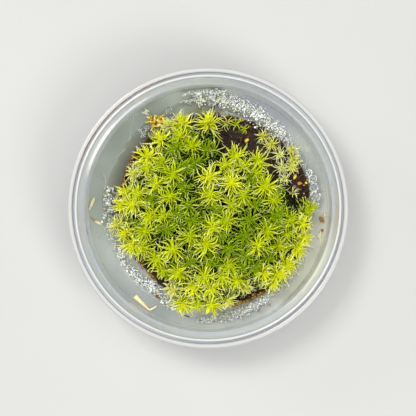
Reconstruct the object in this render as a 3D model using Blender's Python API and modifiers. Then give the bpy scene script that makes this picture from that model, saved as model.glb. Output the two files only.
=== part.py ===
"""A moss clump on a round peat plug, growing in a shallow see-through dish.

Units are metres, +Z is up, and the origin is the middle of the dish's underside.
Plans are looked at from above, with +X to the right and +Y away from the viewer.
"""

import math
import random

import bmesh
import bpy
from mathutils import Matrix, Vector, noise

MM = 0.001
GAP = 0.3 * MM

# Dish: a moulded cup whose rim has an inner bead, a groove and an outer band.
DISH_RADIUS = 45.0 * MM
DISH_HEIGHT = 22.0 * MM
DISH_FLOOR = 1.0 * MM
DISH_STEPS = 44
WALL = 0.9 * MM
INNER_FOOT_RADIUS = 40.6 * MM
INNER_TOP_RADIUS = 41.9 * MM
FOOT_ROUND = 0.6 * MM
BEAD_WIDTH = 1.2 * MM
GROOVE_WIDTH = 0.6 * MM
GROOVE_DEPTH = 1.1 * MM
RIM_ROUND = 0.3 * MM
BAND_HEIGHT = 2.4 * MM

# Gel pad: its reach from the middle at every 30 degrees, counter-clockwise from +X.
GEL_THICKNESS = 1.6 * MM
GEL_BOTTOM = DISH_FLOOR + GAP
GEL_TOP = GEL_BOTTOM + GEL_THICKNESS
GEL_REACH_MM = (37.0, 37.8, 38.6, 39.2, 36.4, 35.4, 36.6, 36.2, 36.4, 38.6, 38.6, 36.0)
GEL_SEGMENTS = 60

# Peat plug: a lumpy disc with a round shoulder, a little right of the middle.
PEAT_RADIUS = 32.8 * MM
PEAT_CENTRE = Vector((1.6 * MM, -0.2 * MM, 0.0))
PEAT_BOTTOM = GEL_TOP + GAP
PEAT_HEIGHT = 3.7 * MM
PEAT_TOP = PEAT_BOTTOM + PEAT_HEIGHT
PEAT_LUMP = 0.45 * MM

# Moss: shoot heads follow a low dome, and the mat lies a little below them.
MOSS_BOTTOM = PEAT_TOP + GAP
CROWN_HEIGHT = 21.6 * MM
DOME_DROP = 7.0 * MM
DOME_RADIUS = 33.0 * MM
MAT_BELOW_HEADS = 2.6 * MM
MAT_LUMP = 0.8 * MM
MAT_SPREAD = 6.0
MAT_FALL_PER_DEGREE = 0.6 * MM
STEM_LEAN = 0.88

# A head: leaf points round a core, rising by turns, with a bud in the middle.
LEAF_POINTS = 7
LEAF_RISE = (2.0, 26.0)
CORE_SHARE = 0.36
BUD_SHARE = 0.55
LEAF_JITTER = 0.14

# Inside the cushion a head's points stop short of its neighbour, at this share of the way.
CROWDED_SHARE = 0.62
EDGE_RADIUS = 25.0 * MM

# Heads of the cushion: x, y and reach in mm, and how far each stands over the dome.
CUSHION_HEADS = (
    (-8.5, 27.7, 5.4, 0.6),
    (-0.5, 27.5, 5.4, 0.6),
    (-9.4, 23.6, 5.0, 0.4),
    (-15.5, 22.6, 5.2, 0.6),
    (-10.7, 19.8, 5.0, 0.0),
    (-5.4, 20.0, 4.9, -0.6),
    (-19.4, 17.1, 5.8, 1.0),
    (-15.2, 14.4, 4.6, -0.4),
    (-19.9, 12.8, 4.8, 0.0),
    (-11.2, 10.7, 5.4, 0.8),
    (-16.8, 7.6, 4.8, 0.0),
    (0.2, 9.8, 5.3, 0.8),
    (0.6, 4.2, 5.2, 0.6),
    (-12.4, 3.8, 5.0, 0.0),
    (-26.9, 5.2, 4.8, 0.6),
    (-22.7, 4.6, 5.2, 1.0),
    (-24.6, 0.8, 5.8, 1.2),
    (-13.2, 27.2, 3.8, -2.0),
    (9.1, 17.1, 5.4, 0.8),
    (16.3, 15.6, 5.0, 0.4),
    (5.4, 13.8, 4.6, 0.0),
    (15.6, 11.2, 4.8, -0.4),
    (7.4, 8.2, 5.8, 1.4),
    (18.8, 7.2, 5.6, 1.2),
    (11.4, 4.2, 5.2, 0.6),
    (21.2, 2.6, 5.0, 0.2),
    (7.4, 0.8, 5.0, 0.2),
    (-30.2, -5.6, 4.2, 0.0),
    (-27.4, -8.2, 4.6, 0.4),
    (-18.8, -3.0, 5.2, 1.0),
    (-14.6, -2.6, 4.6, 0.4),
    (-13.3, -6.8, 5.0, 0.2),
    (-20.4, -7.6, 5.0, 0.6),
    (-25.2, -12.6, 5.2, 0.8),
    (-21.8, -13.2, 5.2, 0.4),
    (-11.4, -13.4, 5.8, 1.2),
    (-16.8, -16.9, 5.0, 0.2),
    (-0.8, -11.8, 5.4, 0.8),
    (-5.8, -9.2, 4.8, 0.0),
    (-9.8, -21.0, 5.2, 0.4),
    (-1.1, -22.2, 5.4, 1.0),
    (-4.8, -26.0, 5.3, 1.0),
    (-8.2, -30.6, 5.0, 0.4),
    (1.4, -26.6, 5.0, 0.8),
    (1.2, -30.8, 4.8, 0.4),
    (-3.6, -30.4, 4.4, 0.0),
    (1.2, -6.4, 5.0, 0.8),
    (5.6, -4.2, 5.0, 0.8),
    (13.0, -4.0, 5.0, 0.2),
    (19.2, -7.6, 5.6, 0.8),
    (22.4, -2.2, 4.4, 0.0),
    (26.8, -3.8, 4.6, 0.4),
    (30.4, -5.4, 5.0, 0.8),
    (31.0, -9.4, 4.8, 0.8),
    (28.6, -13.2, 5.6, 1.0),
    (16.2, -12.2, 5.0, 0.6),
    (23.4, -12.4, 4.6, -0.4),
    (6.8, -13.0, 4.8, -0.6),
    (12.6, -15.2, 4.8, -0.8),
    (6.6, -18.8, 4.8, 0.0),
    (15.6, -19.6, 4.8, -0.8),
    (25.2, -18.2, 5.4, 1.0),
    (22.6, -21.8, 5.3, 1.0),
    (18.4, -21.6, 4.8, 0.6),
    (9.2, -24.0, 5.0, 0.4),
    (4.8, -22.8, 4.8, 0.6),
    (12.4, -26.2, 4.2, -2.0),
    (6.6, -30.4, 4.2, -2.0),
    (-8.2, 6.2, 4.6, -1.0),
    (-6.6, 0.8, 4.6, -1.0),
    (-4.2, 14.6, 4.4, -1.0),
    (-4.8, -3.8, 4.6, -1.0),
    (12.0, -9.2, 4.6, -0.8),
    (-0.6, 19.0, 4.4, -1.6),
)

# The pale tuft stands low on the plug's shoulder: x, y, reach and height in mm.
TUFT_HEADS = (
    (17.8, 22.8, 3.6, 12.2),
    (20.4, 20.6, 4.0, 12.8),
    (23.4, 17.4, 3.4, 11.8),
    (27.6, 16.2, 3.4, 11.4),
    (26.2, 13.4, 3.6, 12.0),
    (23.6, 12.6, 3.0, 11.2),
    (26.8, 19.2, 2.6, 10.6),
)
TUFT_MAT_HEIGHT = 2.4 * MM
TUFT_MAT_WIDTH = 2.6 * MM
SPRIG_HEADS = (
    (5.9, 27.8, 3.6, 11.4),
    (9.2, 26.6, 3.8, 11.8),
    (11.8, 25.0, 2.8, 10.8),
)
SPRIG_MAT_HEIGHT = 1.2 * MM
SPRIG_MAT_WIDTH = 1.0 * MM
SEEDLING_HEAD = (28.6, 4.8, 2.6, 9.6)
DEAD_HEAD = (-18.4, 30.6, 3.2, 7.8)

# Froth crusts along the gel's edge: first and last bearing, inner and outer radius, height.
FROTH = {
    "froth_back": (64.0, 104.0, 34.6, 38.8, 2.0),
    "froth_back_right": (27.0, 60.0, 35.3, 37.6, 1.8),
    "froth_front_right": (-57.0, -29.0, 35.2, 37.3, 1.8),
    "froth_front": (-94.0, -60.0, 34.4, 37.8, 1.9),
    "froth_front_left": (209.0, 235.0, 33.0, 35.6, 1.8),
    "froth_left": (166.0, 205.0, 32.4, 35.4, 1.7),
}
FROTH_SEGMENTS = 14
FROTH_RINGS = 6
FROTH_LUMP = 0.22

# Larger bubbles: x, y and radius in mm, each touching the next.
BUBBLES_MM = (
    (34.8, 11.2, 0.9),
    (36.0, 9.8, 1.2),
    (36.4, 7.6, 1.3),
    (36.9, 5.0, 1.6),
    (37.1, 2.6, 1.0),
    (36.7, 1.2, 0.8),
)

DEG = math.pi / 180.0


def mm_point(x, y, z):
    """A point given in millimetres, in metres."""
    return Vector((x * MM, y * MM, z * MM))


def make_collection(name):
    """A new collection linked to the scene."""
    collection = bpy.data.collections.new(name)
    bpy.context.scene.collection.children.link(collection)
    return collection


def make_material(name, colour, roughness, metallic=0.0):
    """A Principled material with one colour."""
    material = bpy.data.materials.new(name)
    material.use_nodes = True
    shader = material.node_tree.nodes["Principled BSDF"]
    shader.inputs["Base Color"].default_value = (*colour, 1.0)
    shader.inputs["Roughness"].default_value = roughness
    shader.inputs["Metallic"].default_value = metallic
    material.diffuse_color = (*colour, 1.0)
    return material


def add_object(name, bm, collection, material):
    """Turns a bmesh into a linked object, and frees the bmesh."""
    mesh = bpy.data.meshes.new(name)
    bm.to_mesh(mesh)
    bm.free()
    piece = bpy.data.objects.new(name, mesh)
    collection.objects.link(piece)
    mesh.materials.append(material)
    return piece


def make_cutter(piece):
    """Marks an object as construction that is not part of the model."""
    piece.hide_render = True
    piece.display_type = "WIRE"


def outer_shell(bm):
    """Drops every closed shell but the largest, which fills cavities sealed inside it."""
    waiting = set(bm.faces)
    shells = []
    while waiting:
        shell = set()
        edge = [waiting.pop()]
        while edge:
            face = edge.pop()
            shell.add(face)
            near = {f for e in face.edges for f in e.link_faces} & waiting
            waiting -= near
            edge.extend(near)
        shells.append(shell)
    shells.sort(key=len)
    inner = [face for shell in shells[:-1] for face in shell]
    bmesh.ops.delete(bm, geom=inner, context="FACES")


def fuse(piece, members):
    """Joins a piece with every object of a collection into one solid with no cavity."""
    union = piece.modifiers.new("fuse", "BOOLEAN")
    union.operation = "UNION"
    union.solver = "EXACT"
    union.operand_type = "COLLECTION"
    union.collection = members
    evaluated = piece.evaluated_get(bpy.context.evaluated_depsgraph_get())
    bm = bmesh.new()
    bm.from_mesh(bpy.data.meshes.new_from_object(evaluated))
    piece.modifiers.remove(union)
    bmesh.ops.triangulate(bm, faces=bm.faces)
    outer_shell(bm)
    bm.to_mesh(piece.data)
    bm.free()


def wave(values, angle):
    """Smooth value at an angle, from values spaced evenly round a circle."""
    place = (angle / (2 * math.pi)) % 1.0 * len(values)
    low = int(place)
    share = 0.5 - 0.5 * math.cos((place - low) * math.pi)
    first = values[low % len(values)]
    second = values[(low + 1) % len(values)]
    return first + (second - first) * share


def pillow(bm, segments, rings, squareness):
    """A unit disc with a round edge: half thickness 1, radius 1, centred on the origin."""
    bmesh.ops.create_uvsphere(bm, u_segments=segments, v_segments=rings, radius=1.0)
    for vertex in bm.verts:
        x, y, z = vertex.co
        flat = math.hypot(x, y)
        grow = flat ** squareness / flat if flat > 1e-6 else 0.0
        rise = math.copysign(abs(z) ** squareness, z)
        vertex.co = (x * grow, y * grow, rise)


def dome_height(x, y):
    """Height of the shoot heads over the dish's underside."""
    return CROWN_HEIGHT - DOME_DROP * (math.hypot(x, y) / DOME_RADIUS) ** 2


def dish_profile():
    """Half section of the dish: over the floor, up the inside, then down the outside."""
    inner = INNER_TOP_RADIUS
    bead_out = inner + BEAD_WIDTH
    groove_out = bead_out + GROOVE_WIDTH
    groove_floor = DISH_HEIGHT - GROOVE_DEPTH
    band_foot = DISH_HEIGHT - BAND_HEIGHT
    outer_top = inner + WALL
    outer_foot = INNER_FOOT_RADIUS + WALL
    return [
        (0.0, DISH_FLOOR),
        (INNER_FOOT_RADIUS - FOOT_ROUND, DISH_FLOOR),
        (INNER_FOOT_RADIUS, DISH_FLOOR + FOOT_ROUND),
        (inner, groove_floor),
        (inner + BEAD_WIDTH * 0.4, DISH_HEIGHT - RIM_ROUND),
        (inner + BEAD_WIDTH * 0.75, DISH_HEIGHT - RIM_ROUND),
        (bead_out, groove_floor),
        (groove_out, groove_floor),
        (groove_out + RIM_ROUND, DISH_HEIGHT),
        (DISH_RADIUS - RIM_ROUND, DISH_HEIGHT),
        (DISH_RADIUS, DISH_HEIGHT - RIM_ROUND),
        (DISH_RADIUS, band_foot),
        (DISH_RADIUS - RIM_ROUND, band_foot - RIM_ROUND),
        (outer_top, band_foot - RIM_ROUND * 2),
        (outer_foot, FOOT_ROUND),
        (outer_foot - FOOT_ROUND, 0.0),
        (0.0, 0.0),
    ]


def build_dish(collection):
    """The moulded dish, turned about the Z axis."""
    material = make_material("dish_plastic", (0.72, 0.74, 0.72), 0.22)
    mesh = bpy.data.meshes.new("culture_dish")
    points = [(radius, 0.0, height) for radius, height in dish_profile()]
    edges = [(i, i + 1) for i in range(len(points) - 1)]
    mesh.from_pydata(points, edges, [])
    dish = bpy.data.objects.new("culture_dish", mesh)
    collection.objects.link(dish)
    mesh.materials.append(material)
    turn = dish.modifiers.new("turn", "SCREW")
    turn.axis = "Z"
    turn.angle = 2 * math.pi
    turn.steps = DISH_STEPS
    turn.render_steps = DISH_STEPS
    turn.use_merge_vertices = True
    turn.merge_threshold = 0.00001
    return dish


def build_gel(collection):
    """The clear jelly pad, wider where froth has formed."""
    material = make_material("gel", (0.66, 0.70, 0.62), 0.10)
    bm = bmesh.new()
    bmesh.ops.create_cone(
        bm,
        cap_ends=True,
        segments=GEL_SEGMENTS,
        radius1=1.0,
        radius2=0.985,
        depth=GEL_THICKNESS,
    )
    for vertex in bm.verts:
        reach = wave(GEL_REACH_MM, math.atan2(vertex.co.y, vertex.co.x)) * MM
        vertex.co.x *= reach
        vertex.co.y *= reach
        vertex.co.z += GEL_BOTTOM + GEL_THICKNESS / 2
    return add_object("gel_pad", bm, collection, material)


def build_peat(collection):
    """The plug: a disc with a round shoulder, crumbly on its top and side."""
    material = make_material("peat", (0.035, 0.018, 0.010), 0.75)
    bm = bmesh.new()
    pillow(bm, 32, 10, 0.42)
    for vertex in bm.verts:
        lump = noise.noise(vertex.co * 4.0)
        side = 1.0 + 0.02 * lump
        height = (vertex.co.z + 1.0) * 0.5 * PEAT_HEIGHT
        if vertex.co.z > 0.5:
            height += (lump - 0.9) * PEAT_LUMP
        vertex.co = Vector((vertex.co.x * side, vertex.co.y * side, 0.0)) * PEAT_RADIUS
        vertex.co += PEAT_CENTRE + Vector((0.0, 0.0, PEAT_BOTTOM + height))
    return add_object("peat_plug", bm, collection, material)


def crowded_reach(row):
    """How far a head's points go: their full reach at the cushion's edge, less inside it."""
    x, y, reach, _ = row
    if math.hypot(x, y) * MM > EDGE_RADIUS:
        return reach
    gaps = [math.hypot(x - other[0], y - other[1]) for other in CUSHION_HEADS if other != row]
    return min(reach, max(sorted(gaps)[1] * CROWDED_SHARE, reach * 0.6))


def head_mesh(centre, reach, foot, seed):
    """One shoot: a stem that widens upwards, under a star of leaf points and a bud."""
    rng = random.Random(seed)
    bm = bmesh.new()
    core = reach * CORE_SHARE
    bmesh.ops.create_uvsphere(bm, u_segments=LEAF_POINTS, v_segments=2, radius=core)
    bud = max(bm.verts, key=lambda v: v.co.z)
    root = min(bm.verts, key=lambda v: v.co.z)
    poked = bmesh.ops.poke(bm, faces=bud.link_faces)
    for index, tip in enumerate(poked["verts"]):
        bearing = math.atan2(tip.co.y, tip.co.x)
        rise = LEAF_RISE[index % len(LEAF_RISE)] * DEG
        length = reach * rng.uniform(1.0 - LEAF_JITTER, 1.0)
        flat = length * math.cos(rise)
        tip.co = (flat * math.cos(bearing), flat * math.sin(bearing), length * math.sin(rise))
    bud.co.z = reach * BUD_SHARE
    turned = Matrix.Rotation(rng.uniform(0.0, 2 * math.pi), 4, "Z")
    bmesh.ops.transform(bm, matrix=Matrix.Translation(centre) @ turned, verts=bm.verts)
    root.co = foot
    return bm


def add_head(name, row, height, foot_height, lean, collection, material):
    """A shoot placed by a row of x, y and reach in mm, with its foot nearer the middle."""
    x, y, reach = row[0], row[1], row[2]
    centre = Vector((x * MM, y * MM, height))
    foot = Vector((x * MM * lean, y * MM * lean, foot_height))
    bm = head_mesh(centre, reach * MM, foot, name)
    return add_object(name, bm, collection, material)


def mat_reach(bearing):
    """How far the cushion's mat reaches at a bearing in degrees."""
    best = 0.0
    for x, y, _, _ in CUSHION_HEADS:
        off = abs((math.degrees(math.atan2(y, x)) - bearing + 180.0) % 360.0 - 180.0)
        fall = max(0.0, off - MAT_SPREAD) * MAT_FALL_PER_DEGREE
        best = max(best, math.hypot(x, y) * MM - fall)
    return best


def build_cushion(collection, construction):
    """The main clump: a lumpy mat with a burst of leaves on every shoot."""
    material = make_material("moss_green", (0.42, 0.50, 0.02), 0.55)
    heads = make_collection("cushion_heads")
    construction.children.link(heads)
    bpy.context.scene.collection.children.unlink(heads)
    for index, row in enumerate(CUSHION_HEADS):
        x, y, _, lift = row
        height = dome_height(x * MM, y * MM) + lift * MM
        foot_height = MOSS_BOTTOM + 2.0 * MM
        placed = (x, y, crowded_reach(row))
        head = add_head(f"head_{index}", placed, height, foot_height, STEM_LEAN, heads, material)
        make_cutter(head)
    bm = bmesh.new()
    pillow(bm, 40, 8, 0.5)
    for vertex in bm.verts:
        bearing = math.degrees(math.atan2(vertex.co.y, vertex.co.x))
        spread = mat_reach(bearing)
        x = vertex.co.x * spread
        y = vertex.co.y * spread
        top = dome_height(x, y) - MAT_BELOW_HEADS - MOSS_BOTTOM
        height = (vertex.co.z + 1.0) * 0.5 * top
        if vertex.co.z > 0.0:
            height += noise.noise(Vector((x, y, 0.0)) / (4.0 * MM)) * MAT_LUMP
        vertex.co = (x, y, MOSS_BOTTOM + height)
    cushion = add_object("moss_cushion", bm, collection, material)
    fuse(cushion, heads)
    return cushion


def build_row(name, rows, mat_height, mat_width, colour, collection, construction):
    """Low shoots that share one creeping base along their row."""
    material = make_material(f"{name}_green", colour, 0.55)
    heads = make_collection(f"{name}_heads")
    construction.children.link(heads)
    bpy.context.scene.collection.children.unlink(heads)
    for index, row in enumerate(rows):
        foot_height = MOSS_BOTTOM + mat_height * 0.4
        head = add_head(
            f"{name}_{index}", row, row[3] * MM, foot_height, 1.0, heads, material
        )
        make_cutter(head)
    first = mm_point(rows[0][0], rows[0][1], 0.0)
    last = mm_point(rows[-1][0], rows[-1][1], 0.0)
    middle = sum((mm_point(row[0], row[1], 0.0) for row in rows), Vector()) / len(rows)
    along = (last - first).normalized()
    across = Vector((-along.y, along.x, 0.0))
    half_length = (last - first).length / 2 + mat_width
    bm = bmesh.new()
    pillow(bm, 16, 6, 0.6)
    for vertex in bm.verts:
        place = middle + along * vertex.co.x * half_length + across * vertex.co.y * mat_width
        place.z = MOSS_BOTTOM + (vertex.co.z + 1.0) * 0.5 * mat_height
        vertex.co = place
    row_mat = add_object(name, bm, collection, material)
    fuse(row_mat, heads)
    return row_mat


def build_froth(name, facts, collection, material):
    """A lumpy crust of bubbles, bent along the gel's edge."""
    first, last, inner, outer, height = facts
    bm = bmesh.new()
    pillow(bm, FROTH_SEGMENTS, FROTH_RINGS, 0.55)
    for vertex in bm.verts:
        lump = noise.noise(vertex.co * 5.0 + Vector((first, 0.0, 0.0)))
        bearing = ((first + last) / 2 - vertex.co.x * (last - first) / 2) * DEG
        radius = (inner + outer) / 2 + vertex.co.y * (outer - inner) / 2
        rise = (vertex.co.z + 1.0) * 0.5 * height * (1.0 + FROTH_LUMP * 2.0 * lump)
        radius += FROTH_LUMP * lump
        place = mm_point(radius * math.cos(bearing), radius * math.sin(bearing), rise)
        vertex.co = place + Vector((0.0, 0.0, GEL_TOP + GAP))
    return add_object(name, bm, collection, material)


def build_bubbles(collection, construction, material):
    """A row of larger bubbles grown into one another."""
    others = make_collection("bubble_members")
    construction.children.link(others)
    bpy.context.scene.collection.children.unlink(others)
    row = None
    for index, (x, y, radius) in enumerate(BUBBLES_MM):
        bm = bmesh.new()
        bmesh.ops.create_uvsphere(bm, u_segments=8, v_segments=5, radius=radius * MM)
        turned = Matrix.Rotation(index * 0.7, 4, "Z")
        lifted = Matrix.Translation(mm_point(x, y, radius) + Vector((0, 0, GEL_TOP + GAP)))
        bmesh.ops.transform(bm, matrix=lifted @ turned, verts=bm.verts)
        if index == 0:
            row = add_object("bubbles_right", bm, collection, material)
        else:
            make_cutter(add_object(f"bubble_{index}", bm, others, material))
    fuse(row, others)
    return row


def build_strip(name, points_mm, width, thickness, rest, collection, material):
    """A flat straw along a few plan points, resting at a height."""
    curve = bpy.data.curves.new(name, "CURVE")
    curve.dimensions = "3D"
    curve.bevel_depth = width * MM / 2
    curve.bevel_resolution = 1
    curve.use_fill_caps = True
    spline = curve.splines.new("POLY")
    spline.points.add(len(points_mm) - 1)
    for point, (x, y) in zip(spline.points, points_mm):
        point.co = (x * MM, y * MM, 0.0, 1.0)
    tube = bpy.data.objects.new(f"{name}_tube", curve)
    collection.objects.link(tube)
    evaluated = tube.evaluated_get(bpy.context.evaluated_depsgraph_get())
    mesh = bpy.data.meshes.new_from_object(evaluated)
    bpy.data.objects.remove(tube)
    bm = bmesh.new()
    bm.from_mesh(mesh)
    bpy.data.meshes.remove(mesh)
    bmesh.ops.remove_doubles(bm, verts=bm.verts, dist=0.00001)
    for vertex in bm.verts:
        vertex.co.z = rest + vertex.co.z * thickness / width + thickness * MM / 2
    return add_object(name, bm, collection, material)


def build_pebble(name, place_mm, size_mm, bearing, rest, collection, material):
    """A small oval body resting at a height."""
    bm = bmesh.new()
    bmesh.ops.create_uvsphere(bm, u_segments=8, v_segments=4, radius=0.5)
    shape = Matrix.Diagonal((size_mm[0] * MM, size_mm[1] * MM, size_mm[2] * MM, 1.0))
    turned = Matrix.Rotation(bearing * DEG, 4, "Z")
    centre = mm_point(place_mm[0], place_mm[1], size_mm[2] / 2) + Vector((0, 0, rest))
    bmesh.ops.transform(bm, matrix=Matrix.Translation(centre) @ turned @ shape, verts=bm.verts)
    return add_object(name, bm, collection, material)


def build_bits(collection):
    """The loose straws, husks, seed and grit."""
    straw = make_material("straw", (0.78, 0.66, 0.40), 0.60)
    brown = make_material("brown_bark", (0.22, 0.08, 0.02), 0.50)
    orange = make_material("orange_husk", (0.62, 0.30, 0.05), 0.55)
    floor = DISH_FLOOR + GAP
    gel = GEL_TOP + GAP
    bent = ((-24.2, -30.2), (-22.0, -32.0), (-19.6, -34.0), (-17.6, -33.2))
    build_strip("straw_bent", bent, 1.1, 0.7, floor, collection, straw)
    build_strip("straw_left", ((-38.8, 3.0), (-39.0, -0.4)), 0.8, 0.5, floor, collection, straw)
    build_strip(
        "straw_chip_1", ((-39.2, -3.4), (-38.6, -4.8)), 0.6, 0.5, floor, collection, straw
    )
    build_strip(
        "straw_chip_2", ((-37.2, -4.4), (-36.4, -5.6)), 0.7, 0.5, floor, collection, straw
    )
    build_strip(
        "straw_right", ((39.2, -1.2), (39.3, -2.6)), 0.6, 0.5, floor, collection, straw
    )
    build_strip(
        "brown_stick", ((-7.8, -36.0), (-6.2, -36.4)), 0.5, 0.5, gel, collection, brown
    )
    build_pebble("seed", (-16.8, -29.6), (1.7, 1.2, 1.0), 0.0, gel, collection, brown)
    build_pebble("orange_husk", (38.2, -4.1), (1.6, 1.9, 1.2), 20.0, floor, collection, orange)
    build_pebble(
        "yellow_leaf_bit", (12.9, 22.4), (1.1, 1.8, 0.7), -35.0, MOSS_BOTTOM, collection, orange
    )
    build_pebble(
        "grit_yellow", (28.8, 10.4), (1.3, 1.9, 0.9), -20.0, MOSS_BOTTOM, collection, orange
    )
    build_pebble(
        "grit_orange", (30.4, 8.2), (1.7, 1.3, 0.8), 10.0, MOSS_BOTTOM, collection, orange
    )
    add_head("pale_husk", (-21.0, 32.2, 1.5), floor + 0.9 * MM, floor, 1.0, collection, straw)
    star = add_head("star_husk", (0.0, 0.0, 1.0), 0.8 * MM, 0.0, 1.0, collection, straw)
    star.scale = (0.9, 2.1, 0.9)
    star.location = mm_point(37.6, -9.6, 0.0) + Vector((0.0, 0.0, floor))


def build_all():
    """The whole object, in a collection of its own."""
    for piece in list(bpy.data.objects):
        bpy.data.objects.remove(piece, do_unlink=True)
    model = make_collection("moss_clump")
    construction = make_collection("construction")
    build_dish(model)
    build_gel(model)
    build_peat(model)
    build_cushion(model, construction)
    pale = (0.62, 0.62, 0.22)
    build_row(
        "moss_pale_tuft", TUFT_HEADS, TUFT_MAT_HEIGHT, TUFT_MAT_WIDTH, pale, model, construction
    )
    build_row(
        "moss_sprigs", SPRIG_HEADS, SPRIG_MAT_HEIGHT, SPRIG_MAT_WIDTH, pale, model, construction
    )
    seedling = make_material("seedling_green", pale, 0.55)
    add_head(
        "moss_seedling", SEEDLING_HEAD, SEEDLING_HEAD[3] * MM, MOSS_BOTTOM, 1.0, model, seedling
    )
    dead = make_material("dead_leaf", (0.50, 0.30, 0.05), 0.60)
    add_head("dead_moss_shoot", DEAD_HEAD, DEAD_HEAD[3] * MM, GEL_TOP + GAP, 1.0, model, dead)
    clear = make_material("froth", (0.80, 0.83, 0.78), 0.08)
    for name, facts in FROTH.items():
        build_froth(name, facts, model, clear)
    build_bubbles(model, construction, clear)
    build_bits(model)


build_all()
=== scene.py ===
"""Looks of a moss clump on a peat plug in a milky round dish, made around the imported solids.

Units are metres, +Z is up and the origin is the middle of the dish's underside.
Plans are seen from above, with +X to the right and +Y to the top of the picture.
"""

import math

import bmesh
import bpy
import numpy as np
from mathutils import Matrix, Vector, noise


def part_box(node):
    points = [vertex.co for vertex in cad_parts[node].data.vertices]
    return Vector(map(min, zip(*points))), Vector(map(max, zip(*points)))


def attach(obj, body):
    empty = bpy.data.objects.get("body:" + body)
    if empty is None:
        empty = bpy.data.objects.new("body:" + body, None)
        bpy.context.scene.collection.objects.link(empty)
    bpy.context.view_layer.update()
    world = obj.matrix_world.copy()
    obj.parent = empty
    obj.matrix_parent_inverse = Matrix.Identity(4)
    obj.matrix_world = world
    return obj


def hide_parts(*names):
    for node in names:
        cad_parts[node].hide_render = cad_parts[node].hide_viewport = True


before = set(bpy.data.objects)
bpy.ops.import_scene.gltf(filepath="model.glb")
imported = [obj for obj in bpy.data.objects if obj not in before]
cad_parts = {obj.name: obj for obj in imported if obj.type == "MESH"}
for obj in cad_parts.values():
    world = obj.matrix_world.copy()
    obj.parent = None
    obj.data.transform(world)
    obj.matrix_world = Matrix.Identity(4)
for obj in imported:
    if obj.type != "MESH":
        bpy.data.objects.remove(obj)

MM = 0.001
DEG = math.pi / 180.0
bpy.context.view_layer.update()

# Sizes of the dish, the gel, the peat and the cushion's dome.
DISH_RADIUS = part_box("culture_dish")[1][0]
DISH_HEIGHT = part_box("culture_dish")[1][2]
DISH_FLOOR = 1.0 * MM
DISH_WALL = 0.9 * MM
INNER_FOOT_RADIUS = 40.6 * MM
INNER_TOP_RADIUS = 41.9 * MM
GROOVE_RADIUS = INNER_TOP_RADIUS + 1.0 * MM
GROOVE_DEPTH = 1.5 * MM
BAND_RADIUS = GROOVE_RADIUS + 0.55 * MM
BAND_HEIGHT = 2.4 * MM
SHELF_FOOT = 12.3 * MM
SHELF_TOP = 12.68 * MM
GEL_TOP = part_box("gel_pad")[1][2]
GEL_REACH_MM = (37.0, 37.8, 38.6, 39.2, 36.4, 35.4, 36.6, 36.2, 36.4, 38.6, 38.6, 36.0)
PEAT_REACH_MM = (
    34.2, 34.3, 33.6, 32.8, 32.4, 31.4, 31.4, 31.4, 31.0, 30.6, 30.3, 29.8,
    30.6, 30.4, 29.6, 29.3, 30.2, 31.4, 32.4, 33.5, 33.6, 33.6, 34.0, 34.2,
)
PEAT_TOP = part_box("peat_plug")[1][2] - 0.3 * MM
CROWN_HEIGHT = 21.6 * MM
DOME_DROP = 7.0 * MM
DOME_RADIUS = 33.0 * MM

# The middle of the dish's wall: its radius at the foot, and how fast it moves out with height.
WALL_MIDDLE = INNER_FOOT_RADIUS + 0.4 * MM
WALL_SLOPE = 0.068
# Steps in each rounded corner of the dish's half section.
CORNER_STEPS = 4

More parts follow.
